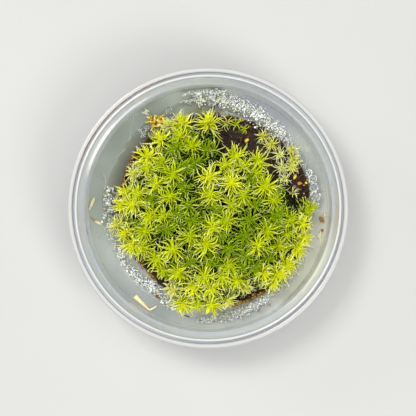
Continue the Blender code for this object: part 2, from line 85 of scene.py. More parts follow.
# Shoots of the cushion: x, y and reach in mm, how far each stands over the dome, and its tone.
CUSHION_SHOOTS = (
    (-8.7, 28.0, 5.6, 0.6, "bright"), (-0.3, 28.5, 5.6, 0.6, "bright"), (-9.4, 23.6, 5.2, 0.4, "lime"),
    (-15.5, 22.6, 5.2, 0.8, "bright"), (-10.7, 19.8, 5.2, 0.0, "deep"), (-5.4, 20.0, 5.0, -0.6, "leaf"),
    (-19.4, 17.1, 5.8, 1.0, "bright"), (-15.2, 14.4, 4.8, -0.4, "leaf"),
    (-19.9, 12.8, 5.0, 0.0, "lime"), (-11.2, 10.7, 5.6, 0.6, "leaf"), (-16.8, 7.6, 5.0, 0.0, "lime"),
    (0.2, 9.8, 5.5, 0.8, "bright"), (0.6, 4.2, 5.4, 0.6, "lime"), (-12.4, 3.8, 5.2, 0.0, "leaf"),
    (-26.9, 5.2, 5.2, 0.6, "bright"), (-22.7, 4.6, 5.4, 1.0, "lime"), (-24.6, 1.2, 6.4, 1.4, "bright"),
    (-13.2, 27.2, 3.8, -2.0, "pale"), (9.1, 16.6, 5.2, 0.6, "lime"), (16.3, 15.0, 4.8, 0.4, "lime"),
    (5.4, 13.8, 4.8, 0.2, "lime"), (15.6, 11.2, 5.0, -0.4, "leaf"), (7.4, 8.2, 6.0, 1.4, "bright"),
    (18.8, 7.2, 5.8, 1.2, "lime"), (11.4, 4.2, 5.4, 0.4, "leaf"), (21.2, 2.6, 5.2, 0.2, "leaf"),
    (7.4, 0.8, 5.2, 0.2, "leaf"), (-30.2, -5.6, 4.2, 0.0, "pale"), (-27.4, -8.2, 4.6, 0.4, "bright"),
    (-18.8, -3.0, 5.4, 1.0, "lime"), (-14.6, -2.6, 4.8, 0.4, "leaf"), (-13.3, -6.8, 5.0, -0.4, "deep"),
    (-20.4, -7.6, 5.2, 0.6, "leaf"), (-25.0, -12.6, 5.9, 1.0, "bright"),
    (-21.8, -13.2, 5.2, 0.4, "lime"), (-11.4, -13.4, 6.0, 1.2, "lime"),
    (-16.8, -16.9, 5.2, 0.2, "lime"), (-0.8, -11.8, 5.6, 0.8, "lime"), (-5.8, -9.2, 5.0, -0.2, "leaf"),
    (-9.8, -21.0, 5.4, 0.6, "lime"), (-1.1, -22.2, 5.6, 1.0, "lime"), (-4.8, -26.0, 5.4, 1.0, "bright"),
    (-8.2, -31.9, 5.6, 0.8, "bright"), (1.4, -26.6, 5.6, 1.0, "bright"),
    (1.2, -31.8, 5.4, 0.6, "bright"), (-3.6, -31.8, 4.4, 0.0, "lime"), (1.2, -6.4, 5.2, 0.8, "lime"),
    (5.6, -4.2, 5.2, 0.8, "leaf"), (13.0, -4.0, 5.2, -0.2, "deep"), (19.2, -7.6, 5.8, 0.6, "leaf"),
    (22.4, -2.2, 4.6, 0.0, "deep"), (26.8, -3.8, 4.8, 0.4, "leaf"), (31.0, -5.4, 5.0, 0.8, "bright"),
    (31.8, -9.6, 4.8, 0.8, "bright"), (29.6, -13.4, 5.6, 1.0, "bright"),
    (16.2, -12.2, 5.2, 0.4, "lime"), (23.4, -12.4, 4.8, -0.4, "leaf"), (6.8, -13.0, 5.0, -0.8, "deep"),
    (12.6, -15.2, 5.0, -0.8, "deep"), (6.6, -18.8, 5.0, -0.2, "leaf"), (15.6, -19.6, 5.0, -0.8, "deep"),
    (26.2, -18.8, 5.5, 1.6, "bright"), (23.2, -21.8, 6.3, 2.0, "bright"),
    (18.4, -21.6, 4.8, 1.0, "bright"), (21.4, -25.0, 4.2, -0.2, "bright"),
    (9.2, -24.0, 5.2, 0.4, "lime"), (4.8, -22.8, 5.0, 0.6, "lime"), (12.4, -26.2, 4.2, -2.0, "pale"),
    (6.6, -30.4, 4.4, -1.2, "pale"), (-8.2, 6.2, 4.8, -1.0, "deep"), (-6.6, 0.8, 4.8, -1.0, "deep"),
    (-4.2, 14.6, 4.8, -0.8, "deep"), (-4.8, -3.8, 4.8, -1.0, "deep"), (12.0, -9.2, 4.8, -0.8, "deep"),
    (-0.6, 19.0, 4.4, -2.4, "deep"), (-24.5, 11.4, 3.6, -0.6, "pale"), (-7.5, 13.0, 4.8, -1.4, "deep"),
    (-10.1, -1.8, 4.4, -1.4, "deep"), (4.6, -9.1, 4.4, -1.2, "deep"), (15.2, 1.0, 4.4, -1.2, "deep"),
    (25.8, -8.8, 4.6, -1.0, "leaf"), (11.4, 13.6, 4.4, -0.8, "lime"), (2.4, -0.8, 4.4, -0.8, "deep"),
    (-5.6, -17.4, 4.6, -1.0, "deep"), (0.8, -16.8, 4.4, -1.2, "deep"),
    (-14.6, -20.6, 4.2, -0.8, "leaf"), (-11.4, -27.0, 4.2, -1.0, "pale"),
    (32.5, -1.4, 3.8, -1.0, "leaf"), (34.4, 0.0, 3.2, -1.6, "leaf"), (-28.6, 0.8, 4.4, 0.2, "bright"),
    (10.4, -19.4, 4.2, -1.4, "deep"), (20.0, -16.2, 4.2, -1.2, "deep"), (-18.4, 3.0, 4.6, -1.2, "deep"),
    (14.2, 9.8, 4.4, -1.4, "deep"), (21.6, -5.0, 3.8, -0.8, "deep"),
)
# Heads inside and outside this radius: leaves, length of leafy stem in mm, stretch of their reach.
EDGE_START = 23.0 * MM
INNER_HEAD = (56, 3.8, 1.06)
EDGE_HEAD = (62, 6.4, 1.12)
# A head's bud: half sizes and distance under the centre as shares of the reach, and its shade.
BUD_HALF_SIZE = (0.19, 0.19, 0.17)
BUD_DROP = 0.08
BUD_SHADE = 0.03

# Low shoots beside the cushion. Each row has its piece, node and slot, a shoot's leaves, leafy stem
# and leaf width in mm, and the shoots: x, y, reach and height in mm, and tone.
LOW_SHOOTS = (
    ("pale_tuft_leaves", "moss_pale_tuft", "moss_pale", 36, 3.4, 0.34, (
        (17.9, 23.2, 3.3, 12.0, "pale"), (20.9, 20.9, 3.8, 12.6, "pale"),
        (23.5, 17.6, 3.4, 11.8, "white"), (28.4, 16.0, 3.4, 11.4, "pale"),
        (27.6, 13.4, 3.4, 12.0, "pale"), (24.3, 13.0, 3.4, 11.2, "white"),
        (27.5, 19.3, 2.6, 10.6, "pale"), (24.8, 9.4, 2.8, 11.6, "white"),
    )),
    ("sprig_leaves", "moss_sprigs", "moss_pale", 15, 2.4, 0.34, (
        (5.9, 27.8, 3.6, 11.4, "pale"), (9.2, 27.4, 3.0, 11.2, "leaf"),
        (11.9, 26.3, 2.2, 10.4, "leaf"),
    )),
    ("seedling_leaves", "moss_seedling", "moss_pale", 18, 2.0, 0.34, (
        (28.6, 4.8, 2.6, 9.6, "white"),
    )),
    ("dead_leaves", "dead_moss_shoot", "dead_leaf", 8, 1.6, 1.3, (
        (-18.0, 28.2, 3.4, 7.0, "dead"), (-15.4, 28.0, 3.2, 7.8, "dead"),
        (-16.4, 29.8, 2.6, 6.2, "dead"), (-18.8, 29.8, 2.2, 5.8, "dead"),
    )),
)

# A leaf's stations along its length, and its width there as a share of the full width.
STATIONS = np.array((0.0, 0.15, 0.33, 0.52, 0.70, 0.85, 0.95, 1.0))
STATION_WIDTHS = np.array((1.0, 1.0, 0.94, 0.82, 0.66, 0.47, 0.28, 0.0))
LEAF_WIDTH = 0.48 * MM
LEAF_KEEL = 0.20
LEAF_CUP = 0.10
# How much leaves differ in sweep, sway and twist, in degrees.
LEAF_SPREADS = (48.0, 19.0, 40.0)
STEM_RADIUS = 0.28 * MM
STEM_EDGE = 0.22 * MM
GOLDEN_ANGLE = math.pi * (3.0 - math.sqrt(5.0))

# Undergrowth between the heads: places tried, depth below the dome, spacing, gap to the nearest
# head, how far it may stand outside the core, and a shoot's reach, leaves and leafy stem in mm.
UNDERGROWTH_TRIES = 5200
UNDERGROWTH_DEPTH = (2.8 * MM, 6.2 * MM)
UNDERGROWTH_SPACING = 3.0 * MM
UNDERGROWTH_GAP = (1.9 * MM, 4.2 * MM)
UNDERGROWTH_OUTSIDE = 1.2 * MM
UNDERGROWTH_HEAD = (4.4, 30, 3.4)
# The cushion's core: depth below the dome, and how far it stays inside the outermost heads. A head
# keeps its full reach for some degrees to each side, and then loses so many mm for each degree.
CORE_DEPTH = 7.6 * MM
CORE_INSET_MM = 3.6
HEAD_SPAN_DEGREES = 5.0
HEAD_FALL_MM = 0.6

# Colour along a leaf for each tone, from its base to its tip, as display values.
# Painted light: the lime, leaf and deep tones are lighter at the base than at the next stop, which
# brightens the heads' middles.
TONES = {
    "bright": ((214, 220, 14), (213, 221, 10), (239, 242, 84), (255, 255, 220)),
    "lime": ((208, 218, 10), (193, 207, 2), (216, 225, 44), (251, 253, 184)),
    "leaf": ((200, 211, 8), (174, 193, 0), (197, 212, 20), (243, 248, 148)),
    "deep": ((138, 159, 6), (126, 156, 0), (149, 178, 4), (204, 221, 84)),
    "shade": ((14, 28, 0), (34, 58, 0), (60, 88, 0), (116, 140, 30)),
    "pale": ((206, 208, 60), (214, 216, 86), (232, 234, 140), (254, 254, 214)),
    "white": ((190, 196, 70), (226, 230, 124), (240, 244, 180), (254, 254, 236)),
    "dead": ((190, 146, 24), (234, 204, 62), (248, 230, 124), (255, 252, 220)),
}
TONE_NAMES = list(TONES)
GREEN_TONES = ("bright", "lime", "leaf", "deep", "shade")
TONE_STOPS = (0.0, 0.35, 0.72, 1.0)
TONE_EDGE = 0.006
# Where along a green shoot its leaves turn darker, and the shares that are pale and white.
OLD_LEAVES = 0.82
PALE_STRAYS = 0.07
WHITE_STRAYS = 0.012

# Froth along the gel's edge, in patches: two bearings, inner and outer radius in mm at the first
# and at the second, bubbles, largest radius in mm, and the share of them that is white.
FROTH = {
    "froth_back": (
        (81.0, 103.0, 38.0, 39.8, 38.3, 39.3, 300, 0.34, 0.85),
        (92.0, 105.0, 36.0, 37.0, 36.2, 36.9, 150, 0.30, 0.78),
        (80.0, 97.0, 33.8, 38.4, 34.6, 38.4, 240, 0.54, 0.30),
        (60.0, 84.0, 33.2, 38.2, 34.6, 39.2, 570, 0.35, 0.62),
        (58.0, 88.0, 30.9, 34.0, 32.2, 36.6, 190, 0.42, 0.10),
    ),
    "froth_back_right": (
        (44.0, 63.0, 33.0, 36.8, 33.4, 38.0, 300, 0.34, 0.68),
        (44.0, 60.0, 31.6, 33.8, 31.4, 34.0, 110, 0.36, 0.10),
        (22.0, 46.0, 34.4, 35.8, 33.2, 36.6, 240, 0.32, 0.6),
    ),
    "froth_front_right": (
        (-58.0, -40.0, 34.2, 37.8, 34.6, 37.4, 260, 0.38, 0.85),
        (-40.0, -26.0, 34.4, 37.6, 34.8, 37.0, 150, 0.38, 0.85),
    ),
    "froth_front": (
        (-96.0, -80.0, 36.4, 38.4, 35.6, 38.2, 220, 0.40, 0.85),
        (-80.0, -57.0, 35.4, 38.2, 34.4, 37.6, 420, 0.42, 0.85),
    ),
    "froth_front_left": (
        (208.0, 221.0, 32.4, 35.2, 31.6, 34.8, 120, 0.32, 0.45),
        (220.0, 240.0, 31.2, 34.8, 30.2, 34.2, 320, 0.36, 0.66),
        (240.0, 252.0, 32.4, 35.0, 33.4, 36.2, 120, 0.36, 0.62),
    ),
    "froth_left": (
        (168.0, 192.0, 31.8, 35.6, 31.6, 35.4, 200, 0.50, 0.35),
        (192.0, 212.0, 32.6, 35.2, 32.8, 34.8, 130, 0.30, 0.40),
    ),
    "bubbles_right": ((0.0, 22.0, 34.6, 36.4, 34.6, 35.8, 90, 0.30, 0.5),),
}
# Colours across a bubble of froth, by the row that it has here.
# Painted shade: the last row is dark grey froth for the patches nearest the plug.
CLEAR_FROTH, WHITE_FROTH, OLIVE_FROTH, SHADED_FROTH = range(4)
FROTH_ROWS = (
    ((190, 196, 182), (206, 210, 198), (218, 222, 212), (230, 233, 226)),
    ((228, 231, 228), (240, 242, 240), (248, 249, 248), (253, 253, 253)),
    ((160, 166, 104), (182, 188, 122), (200, 206, 144), (218, 222, 170)),
    ((92, 94, 78), (118, 120, 104), (142, 144, 130), (180, 182, 170)),
)
# Larger bubbles: x, y and radius in mm.
BUBBLES = (
    (33.9, 11.9, 0.8), (35.0, 9.8, 1.2), (35.4, 6.9, 1.25), (35.8, 4.0, 1.5), (36.1, 1.7, 0.9),
)
# Clear drops and glassy bubbles on the gel: x, y and radius in mm.
DROPS = (
    (-13.3, 32.6, 1.2), (-21.8, 24.6, 1.0), (-20.6, 26.6, 0.8), (-19.6, 27.8, 0.6), (-22.6, 26.0, 0.5),
    (2.8, 39.0, 0.9), (8.1, 36.4, 0.8), (-0.5, 36.9, 0.9), (-4.4, 36.7, 0.8), (-6.6, 35.2, 0.7),
    (1.4, 35.0, 1.1), (5.0, 34.4, 0.9), (-2.6, 34.6, 0.6), (10.6, 34.2, 0.8), (-32.6, -0.6, 0.7),
    (-33.6, 1.8, 0.6), (-33.0, 3.8, 0.8), (-34.4, -2.0, 0.5), (5.2, -35.6, 0.7), (9.4, -35.9, 0.8),
    (16.0, -33.6, 0.7),
)

# Where the plug's edge is stained yellow: first and last bearing, and crumbs.
STAINED_EDGES = ((283.0, 306.0, 160), (138.0, 178.0, 150), (214.0, 236.0, 40), (70.0, 84.0, 30))
# Colours across a crumb: peat, rusty and yellow.
CRUMB_ROWS = (
    ((14, 9, 6), (34, 22, 14), (52, 34, 22), (76, 52, 34)),
    ((60, 38, 10), (100, 68, 20), (134, 98, 30), (170, 132, 52)),
    ((112, 74, 8), (156, 116, 14), (194, 156, 30), (224, 194, 70)),
)
# Specks: x, y and height in mm, half size in mm, and the row of their colour.
SPECKS = (
    (39.1, 5.9, 1.3, 0.34, 2), (39.8, 13.3, 16.5, 0.22, 0), (40.4, 7.8, 14.0, 0.22, 0),
    (38.4, -7.6, 1.3, 0.50, 4), (17.2, -34.4, 2.9, 0.30, 0), (20.8, -32.6, 2.9, 0.26, 0),
    (13.8, -38.4, 1.3, 0.22, 1), (-26.4, -31.6, 1.3, 0.26, 2), (-29.1, -28.4, 1.3, 0.24, 1),
    (-36.6, -10.0, 1.3, 0.24, 0), (-37.4, -8.2, 1.3, 0.20, 0), (-10.2, -38.3, 1.3, 0.26, 2),
    (-8.8, -38.8, 1.3, 0.20, 2), (-35.2, 9.8, 1.3, 0.18, 1), (-15.2, 36.0, 1.3, 0.18, 2),
    (31.6, 4.8, 9.8, 0.26, 3), (31.2, 3.4, 9.8, 0.34, 3), (29.6, 6.4, 9.8, 0.26, 0),
    (32.3, 8.3, 9.9, 0.46, 3), (31.6, 7.5, 9.8, 0.30, 3), (32.6, 9.2, 9.8, 0.30, 0),
    (-30.6, -20.4, 2.9, 0.20, 1), (-26.2, -22.6, 2.9, 0.18, 0), (33.8, -14.6, 3.0, 0.22, 0),
    (-27.3, 20.2, 1.4, 0.28, 3), (-27.0, 18.2, 1.4, 0.32, 3),
)
SPECK_ROWS = (
    ((170, 96, 30), (206, 130, 52), (226, 160, 84), (240, 196, 130)),
    ((96, 70, 46), (124, 94, 62), (150, 120, 84), (180, 150, 110)),
    ((214, 190, 120), (232, 212, 148), (242, 226, 176), (250, 240, 210)),
    ((196, 140, 20), (222, 172, 34), (236, 198, 64), (248, 226, 120)),
    ((128, 76, 20), (164, 106, 40), (188, 134, 70), (214, 176, 120)),
)

# Straps that lie on the dish's floor have points of x, y, lift over this height and width, in mm.
STRAP_REST_MM = DISH_FLOOR / MM + 0.35
STRAP_CURL = 0.25
STRAP_STATIONS = 16
STRAP_ACROSS = 7
STRAWS = {
    "bent_straw": ("straw_bent", (
        (-24.6, -29.6, 0.1, 1.6), (-23.2, -31.0, 0.2, 1.2), (-21.4, -32.6, 0.3, 0.9),
        (-19.9, -34.1, 0.2, 0.5), (-18.8, -33.9, 0.4, 0.6), (-17.2, -32.9, 0.2, 0.4),
    )),
    "left_straw": ("straw_left", (
        (-38.2, 3.6, 0.0, 0.3), (-38.7, 2.3, 0.2, 0.9), (-39.2, 0.9, 0.4, 0.8),
        (-39.9, -0.7, 0.9, 0.3),
    )),
    "chip_1": ("straw_chip_1", ((-39.4, -3.1, 0.0, 0.2), (-38.1, -4.5, 0.0, 0.5))),
    "chip_2": ("straw_chip_2", (
        (-38.0, -4.4, 0.0, 0.4), (-36.9, -4.9, 0.2, 0.9), (-35.8, -5.5, 0.0, 0.4),
    )),
    "right_straw": ("straw_right", ((39.2, -1.0, 0.0, 0.4), (39.3, -2.8, 0.0, 0.6))),
}
HUSK = (
    ((-21.8, 31.6, 0.0, 0.5), (-20.6, 32.6, 0.6, 0.9), (-19.6, 32.4, 0.0, 0.3)),
    ((-21.2, 33.6, 0.0, 0.3), (-20.8, 32.4, 0.5, 0.6), (-20.9, 31.4, 0.0, 0.4)),
    ((-22.4, 32.2, 0.0, 0.3), (-21.0, 31.9, 0.3, 0.7), (-19.8, 31.2, 0.0, 0.3)),
)
STAR_CENTRE = (37.6, -9.6)
# The bearing and the length in mm of each arm of the star husk.
STAR_ARMS = ((80, 2.3), (112, 1.4), (168, 1.5), (232, 1.2), (276, 2.4), (20, 1.1))

# Grained looks: dark, middle and light display colours, size of the grain in mm, and roughness.
GRAINS = {
    "moss_stem": ((46, 30, 8), (92, 78, 16), (128, 130, 30), 0.6, 0.6),
    "peat_fibre": ((48, 32, 22), (88, 62, 44), (146, 112, 80), 0.8, 0.6),
    "straw": ((214, 176, 96), (246, 232, 172), (253, 249, 222), 0.5, 0.5),
    "twig": ((112, 72, 18), (158, 112, 36), (206, 164, 80), 0.5, 0.5),
    "pale_husk": ((242, 230, 176), (253, 249, 216), (255, 254, 242), 0.5, 0.5),
    "seed_coat": ((92, 46, 4), (112, 60, 8), (136, 82, 22), 0.4, 0.5),
    "amber_grit": ((166, 122, 12), (218, 184, 34), (242, 222, 98), 0.4, 0.4),
    "rust_husk": ((134, 80, 10), (192, 132, 24), (228, 186, 76), 0.4, 0.5),
    "bark": ((60, 40, 8), (104, 76, 22), (150, 118, 56), 0.4, 0.5),
    "root_thread": ((198, 204, 184), (222, 226, 210), (240, 242, 230), 0.6, 0.4),
}
# Haze on the floor, and painted light: centre and reach in mm, nearness where it is full, least share,
# and colour.
HAZE_AND_LIGHT_PATCHES = (
    ((34.0, 21.0, 1.0), 13.0, 0.9, 0.35, (218, 224, 200)),
    ((-3.0, 39.5, 1.0), 18.0, 0.7, 0.55, (222, 228, 210)),
    # Painted light: this patch is partly haze and partly painted light that lifts the lower right floor
    # out of the moss's shadow.
    ((34.0, -20.0, 1.0), 21.0, 0.6, 0.75, (255, 255, 234)),
)

# Square lights aimed at the dish: place, size and power.
LIGHTS = (
    ("over", (0.05, 0.02, 0.95), 0.95, 5.3),
    ("side", (-0.62, 0.36, 0.30), 0.30, 1.4),
    ("key", (-0.33, 0.32, 0.86), 0.30, 4.8),
    ("fill", (0.46, -0.44, 0.70), 0.40, 4.3),
)
SKY_STRENGTH = 0.45
CAMERA_HEIGHT = 0.422
CAMERA_LENS_MM = 108.2


def linear(colour):
    """What a shader takes for a display colour from 0 to 255 or a grey from 0 to 1.

    A link is handed back as it is.
    """
    if isinstance(colour, float):
        return (colour, colour, colour, 1.0)
    if not isinstance(colour, tuple):
        return colour
    scaled = [channel / 255.0 for channel in colour]
    return (*[c / 12.92 if c <= 0.04045 else ((c + 0.055) / 1.055) ** 2.4 for c in scaled], 1.0)


class Surface:
    """One Principled material, built up by short calls that take colours as linear does."""

    def __init__(self, name, **settings):
        self.material = bpy.data.materials.new(name)
        self.material.use_nodes = True
        self.tree = self.material.node_tree
        self.shader = self.tree.nodes["Principled BSDF"]
        for socket, value in settings.items():
            self.shader.inputs[socket.replace("_", " ")].default_value = value

    def feed(self, socket, value):
        """Links an output to a socket, or sets the socket's own value."""
        if isinstance(value, bpy.types.NodeSocket):
            self.tree.links.new(value, socket)
        else:
            socket.default_value = value

    def add(self, kind, inputs, **settings):
        """A shader node with these settings, its inputs given by name or number."""
        node = self.tree.nodes.new("ShaderNode" + kind)
        for name, value in settings.items():
            setattr(node, name, value)
        for name, value in inputs.items():
            self.feed(node.inputs[name], value)
        return node

    def place(self):
        """The object's coordinates, in metres."""
        return self.add("TexCoord", {}).outputs["Object"]

    def noise(self, size, detail=4.0, roughness=0.55):
        """Noise from 0 to 1 whose features are about this many metres across."""
        inputs = {"Scale": 1.0 / size, "Detail": detail, "Roughness": roughness}
        return self.add("TexNoise", {"Vector": self.place(), **inputs}).outputs["Fac"]

    def ramp(self, factor, *stops):
        """Colours along a factor, from pairs of a position and a colour."""
        node = self.add("ValToRGB", {"Fac": factor})
        elements = node.color_ramp.elements
        while len(elements) < len(stops):
            elements.new(1.0)
        for element, (position, colour) in zip(elements, stops):
            element.position = position
            element.color = linear(colour)
        return node.outputs["Color"]

    def mix(self, factor, first, second, blend="MIX"):
        """Two colours mixed by a factor."""
        inputs = {0: factor, 6: linear(first), 7: linear(second)}
        return self.add("Mix", inputs, data_type="RGBA", blend_type=blend).outputs[2]

    def math(self, operation, first, second=0.0, third=0.0):
        """One sum on up to three numbers."""
        return self.add("Math", {0: first, 1: second, 2: third}, operation=operation).outputs[0]

    def paint(self, base, *coats):
        """A base under coats of colour, each followed by the masks that it shows through."""
        for colour, *masks in coats:
            share = masks[0]
            for mask in masks[1:]:
                share = self.math("MULTIPLY", share, mask)
            base = self.mix(share, base, colour)
        return base

    def vector(self, operation, first, second=(0.0, 0.0, 0.0)):
        """One sum on two vectors."""
        node = self.add("VectorMath", {0: first, 1: second}, operation=operation)
        plain = operation in ("LENGTH", "DISTANCE", "DOT_PRODUCT")
        return node.outputs["Value" if plain else "Vector"]

    def spot(self, centre_mm, radius_mm, *stops):
        """A ramp by nearness to a point: 0 at the radius, 1 at the point."""
        centre = tuple(value * MM for value in centre_mm)
        away = self.vector("DISTANCE", self.place(), centre)
        return self.ramp(self.math("MULTIPLY_ADD", away, -1.0 / (radius_mm * MM), 1.0), *stops)

    def height(self):
        """Height over the dish's underside, in metres."""
        return self.add("SeparateXYZ", {0: self.place()}).outputs["Z"]

    def radius(self):
        """Distance from the dish's axis, in metres."""
        return self.vector("LENGTH", self.vector("MULTIPLY", self.place(), (1.0, 1.0, 0.0)))

    def slant(self, *stops):
        """A ramp from the upper left of the dish to its lower right."""
        share = self.vector("DOT_PRODUCT", self.place(), (0.72, -0.72, 0.0))
        return self.ramp(self.math("MULTIPLY_ADD", share, 0.5 / DISH_RADIUS, 0.5), *stops)

    def band(self, value, low, high, soft):
        """One between two limits of a value, with soft edges."""
        rise = {0: value, 1: low - soft, 2: low + soft}
        fall = {0: value, 1: high - soft, 2: high + soft, 3: 1.0, 4: 0.0}
        return self.math("MULTIPLY", *[self.add("MapRange", ends).outputs[0] for ends in (rise, fall)])

    def bump(self, height, distance, strength):
        """Feeds a height to the shader's normal."""
        inputs = {"Height": height, "Distance": distance, "Strength": strength}
        self.feed(self.shader.inputs["Normal"], self.add("Bump", inputs).outputs["Normal"])

    def colour(self, value):
        """Feeds the shader's base colour, and hands back the finished material."""
        self.feed(self.shader.inputs["Base Color"], value)
        return self.material


def swatch_material(name, rows, **settings):
    """Colour read from the OFBake map: u runs along a ramp, and v picks the row and its shade."""
    surface = Surface(name, **settings)
    uv = surface.add("UVMap", {}, uv_map="OFBake").outputs["UV"]
    parts = surface.add("SeparateXYZ", {0: uv}).outputs
    scaled = surface.math("MULTIPLY", parts["Y"], float(len(rows)))
    colour = surface.ramp(parts["X"], *zip(TONE_STOPS, rows[0]))
    for index, row in enumerate(rows[1:], 1):
        chosen = surface.math("GREATER_THAN", scaled, float(index))
        colour = surface.mix(chosen, colour, surface.ramp(parts["X"], *zip(TONE_STOPS, row)))
    shade = surface.math("MULTIPLY_ADD", surface.math("FRACT", scaled), 0.72, 0.60)
    grey = surface.add("CombineXYZ", {0: shade, 1: shade, 2: shade}).outputs[0]
    return surface.colour(surface.mix(1.0, colour, grey, "MULTIPLY"))


def swatch_row(row, rows, shade):
    """The v coordinate of a row of a swatch material, with its shade from 0 to 1."""
    return (row + 0.12 + 0.76 * shade) / rows


def floor_colour(surface):
    """Grey-green of the dish's floor, with darker clouds, a cooler side and a dim patch; painted light
    makes it lighter towards the lower right, where the clouds fade out.
    """
    # Painted light: the floor is lighter towards the lower right, where more light falls.
    tint = surface.slant(
        (0.07, (166, 177, 165)),
        (0.28, (172, 183, 172)),
        (0.50, (152, 159, 159)),
        (0.66, (154, 160, 158)),
        (0.79, (192, 197, 190)),
        (0.86, (206, 211, 201)),
        (0.93, (194, 199, 193)),
    )
    clouds = surface.ramp(surface.noise(14.0 * MM, detail=2.0), (0.35, 0.0), (0.7, 0.4))
    # Painted shade: the darker clouds show everywhere but on the lit lower right.
    upper_left = surface.slant((0.7, 1.0), (0.88, 0.2))
    cool = surface.spot((22.0, 32.0, 1.0), 26.0, (0.0, 0.0), (0.5, 0.75))
    dim = surface.spot((20.0, -34.5, 1.0), 11.0, (0.0, 0.0), (0.5, 0.6))
    coats = (
        ((120, 136, 112), clouds, upper_left),
        ((150, 151, 163), cool),
        ((168, 174, 168), dim),
    )
    return surface.paint(tint, *coats)


def haze_and_light_coats(surface, inside):
    """Wisps of mist on the floor, and a patch of painted light among them, as coats for paint."""
    wisps = surface.noise(3.2 * MM, detail=6.0, roughness=0.7)
    wisps = surface.ramp(wisps, (0.42, 0.0), (0.72, 1.0))
    coats = []
    for centre, reach, full, least, colour in HAZE_AND_LIGHT_PATCHES:
        near = surface.spot(centre, reach, (0.0, 0.0), (full, 0.95))
        coats.append((colour, near, surface.math("MAXIMUM", wisps, least), inside))
    return coats


def plastic_material():
    """Milky plastic with a pale shelf, a grey rim, haze, a brown stain line and a smear, and painted
    light: a white highlight band at the wall's foot, a highlight on the shelf's upper left, shade in
    the groove, and light and shade on the floor.
    """
    surface = Surface(
        "milky_plastic", Roughness=0.24, IOR=1.49, Transmission_Weight=0.24, Coat_Weight=0.25
    )
    z = surface.height()
    away = surface.radius()
    middle = surface.math("MULTIPLY_ADD", z, WALL_SLOPE, WALL_MIDDLE)
    inside = surface.math("LESS_THAN", away, middle)
    wall = surface.ramp(
        surface.math("DIVIDE", z, DISH_HEIGHT),
        (0.05, (244, 250, 251)),
        (0.50, (246, 249, 252)),
        (0.55, (250, 252, 255)),
        (0.90, (248, 251, 255)),
        (0.96, (204, 206, 208)),
    )
    warm = surface.spot((40.5, -4.0, 11.5), 15.0, (0.1, 0.0), (0.6, 0.7))
    # Painted highlight: a white band low on the inner wall, which also lifts the wall's foot out of its
    # shade.
    foot = surface.band(z, 1.2 * MM, 3.5 * MM, 0.1 * MM)
    # Painted highlight: the shelf turns white on the upper left, where it reflects the light.
    glint = surface.spot((-36.0, 20.0, 12.5), 12.0, (0.1, 0.0), (0.5, 1.0))
    shelf_colour = surface.mix(glint, (192, 197, 205), (255, 255, 255))
    shelf = surface.band(z, SHELF_FOOT - 0.05 * MM, SHELF_TOP + 0.05 * MM, 0.04 * MM)
    band_foot = DISH_HEIGHT - BAND_HEIGHT
    top = surface.math("GREATER_THAN", z, band_foot)
    rim = surface.band(away, BAND_RADIUS, DISH_RADIUS + MM, 0.1 * MM)
    # Painted shade: the groove in the rim is darkened to grey.
    sunk = surface.band(z, band_foot, DISH_HEIGHT - 0.9 * MM, 0.3 * MM)
    groove = surface.band(away, GROOVE_RADIUS - 0.1 * MM, BAND_RADIUS + 0.1 * MM, 0.1 * MM)
    low = surface.band(z, -MM, DISH_FLOOR + 0.15 * MM, 0.1 * MM)
    line = surface.band(away, BAND_RADIUS, BAND_RADIUS + 0.25 * MM, 0.08 * MM)
    upper_left = surface.spot((-30.0, 32.0, 22.0), 27.0, (0.1, 0.0), (0.4, 1.0))
    flecks = surface.ramp(surface.noise(1.6 * MM, detail=2.0), (0.4, 0.2), (0.6, 0.9))
    smear = surface.spot((-40.7, -8.0, 9.0), 2.6, (0.1, 0.0), (0.5, 1.0))
    coats = (
        ((226, 212, 194), warm, inside),
        ((255, 255, 255), foot, inside),
        (shelf_colour, shelf, inside),
        ((186, 186, 183), rim, top),
        ((182, 184, 188), sunk, groove),
        (floor_colour(surface), low, inside),
        *haze_and_light_coats(surface, inside),
        ((176, 124, 62), line, top, upper_left, flecks),
        ((170, 120, 92), smear, flecks, inside),
    )
    surface.bump(surface.noise(1.2 * MM, detail=3.0), 0.02 * MM, 0.5)
    return surface.colour(surface.paint(wall, *coats))


def gel_material():
    """Clear jelly, cloudy and olive at the top, lighter towards the lower right with painted light, and
    darkened near the plug with painted shade.
    """
    surface = Surface("clear_jelly", Roughness=0.28, IOR=1.34, Transmission_Weight=0.30)
    # Painted light: the jelly is lighter towards the lower right, as the floor under it is.
    tint = surface.slant(
        (0.07, (164, 176, 158)),
        (0.30, (200, 207, 196)),
        (0.50, (184, 190, 192)),
        (0.64, (186, 192, 191)),
        (0.78, (228, 231, 224)),
        (0.88, (236, 239, 232)),
    )
    clouds = surface.ramp(surface.noise(5.0 * MM, detail=3.0), (0.3, 0.0), (0.7, 0.5))
    # Painted shade: dark brown-grey near the plug, strongest on the left.
    near = surface.ramp(surface.radius(), (31.0 * MM, 1.0), (36.6 * MM, 0.0))
    left = surface.spot((-40.0, 14.0, 1.0), 44.0, (0.1, 0.25), (0.55, 0.95))
    olive = surface.spot((-1.0, 29.6, 2.0), 9.0, (0.1, 0.0), (0.6, 0.85))
    coats = (((208, 212, 196), clouds), ((84, 80, 62), near, left, 0.9), ((112, 110, 66), olive))
    surface.bump(surface.noise(2.4 * MM, detail=2.0), 0.12 * MM, 0.6)
    return surface.colour(surface.paint(tint, *coats))


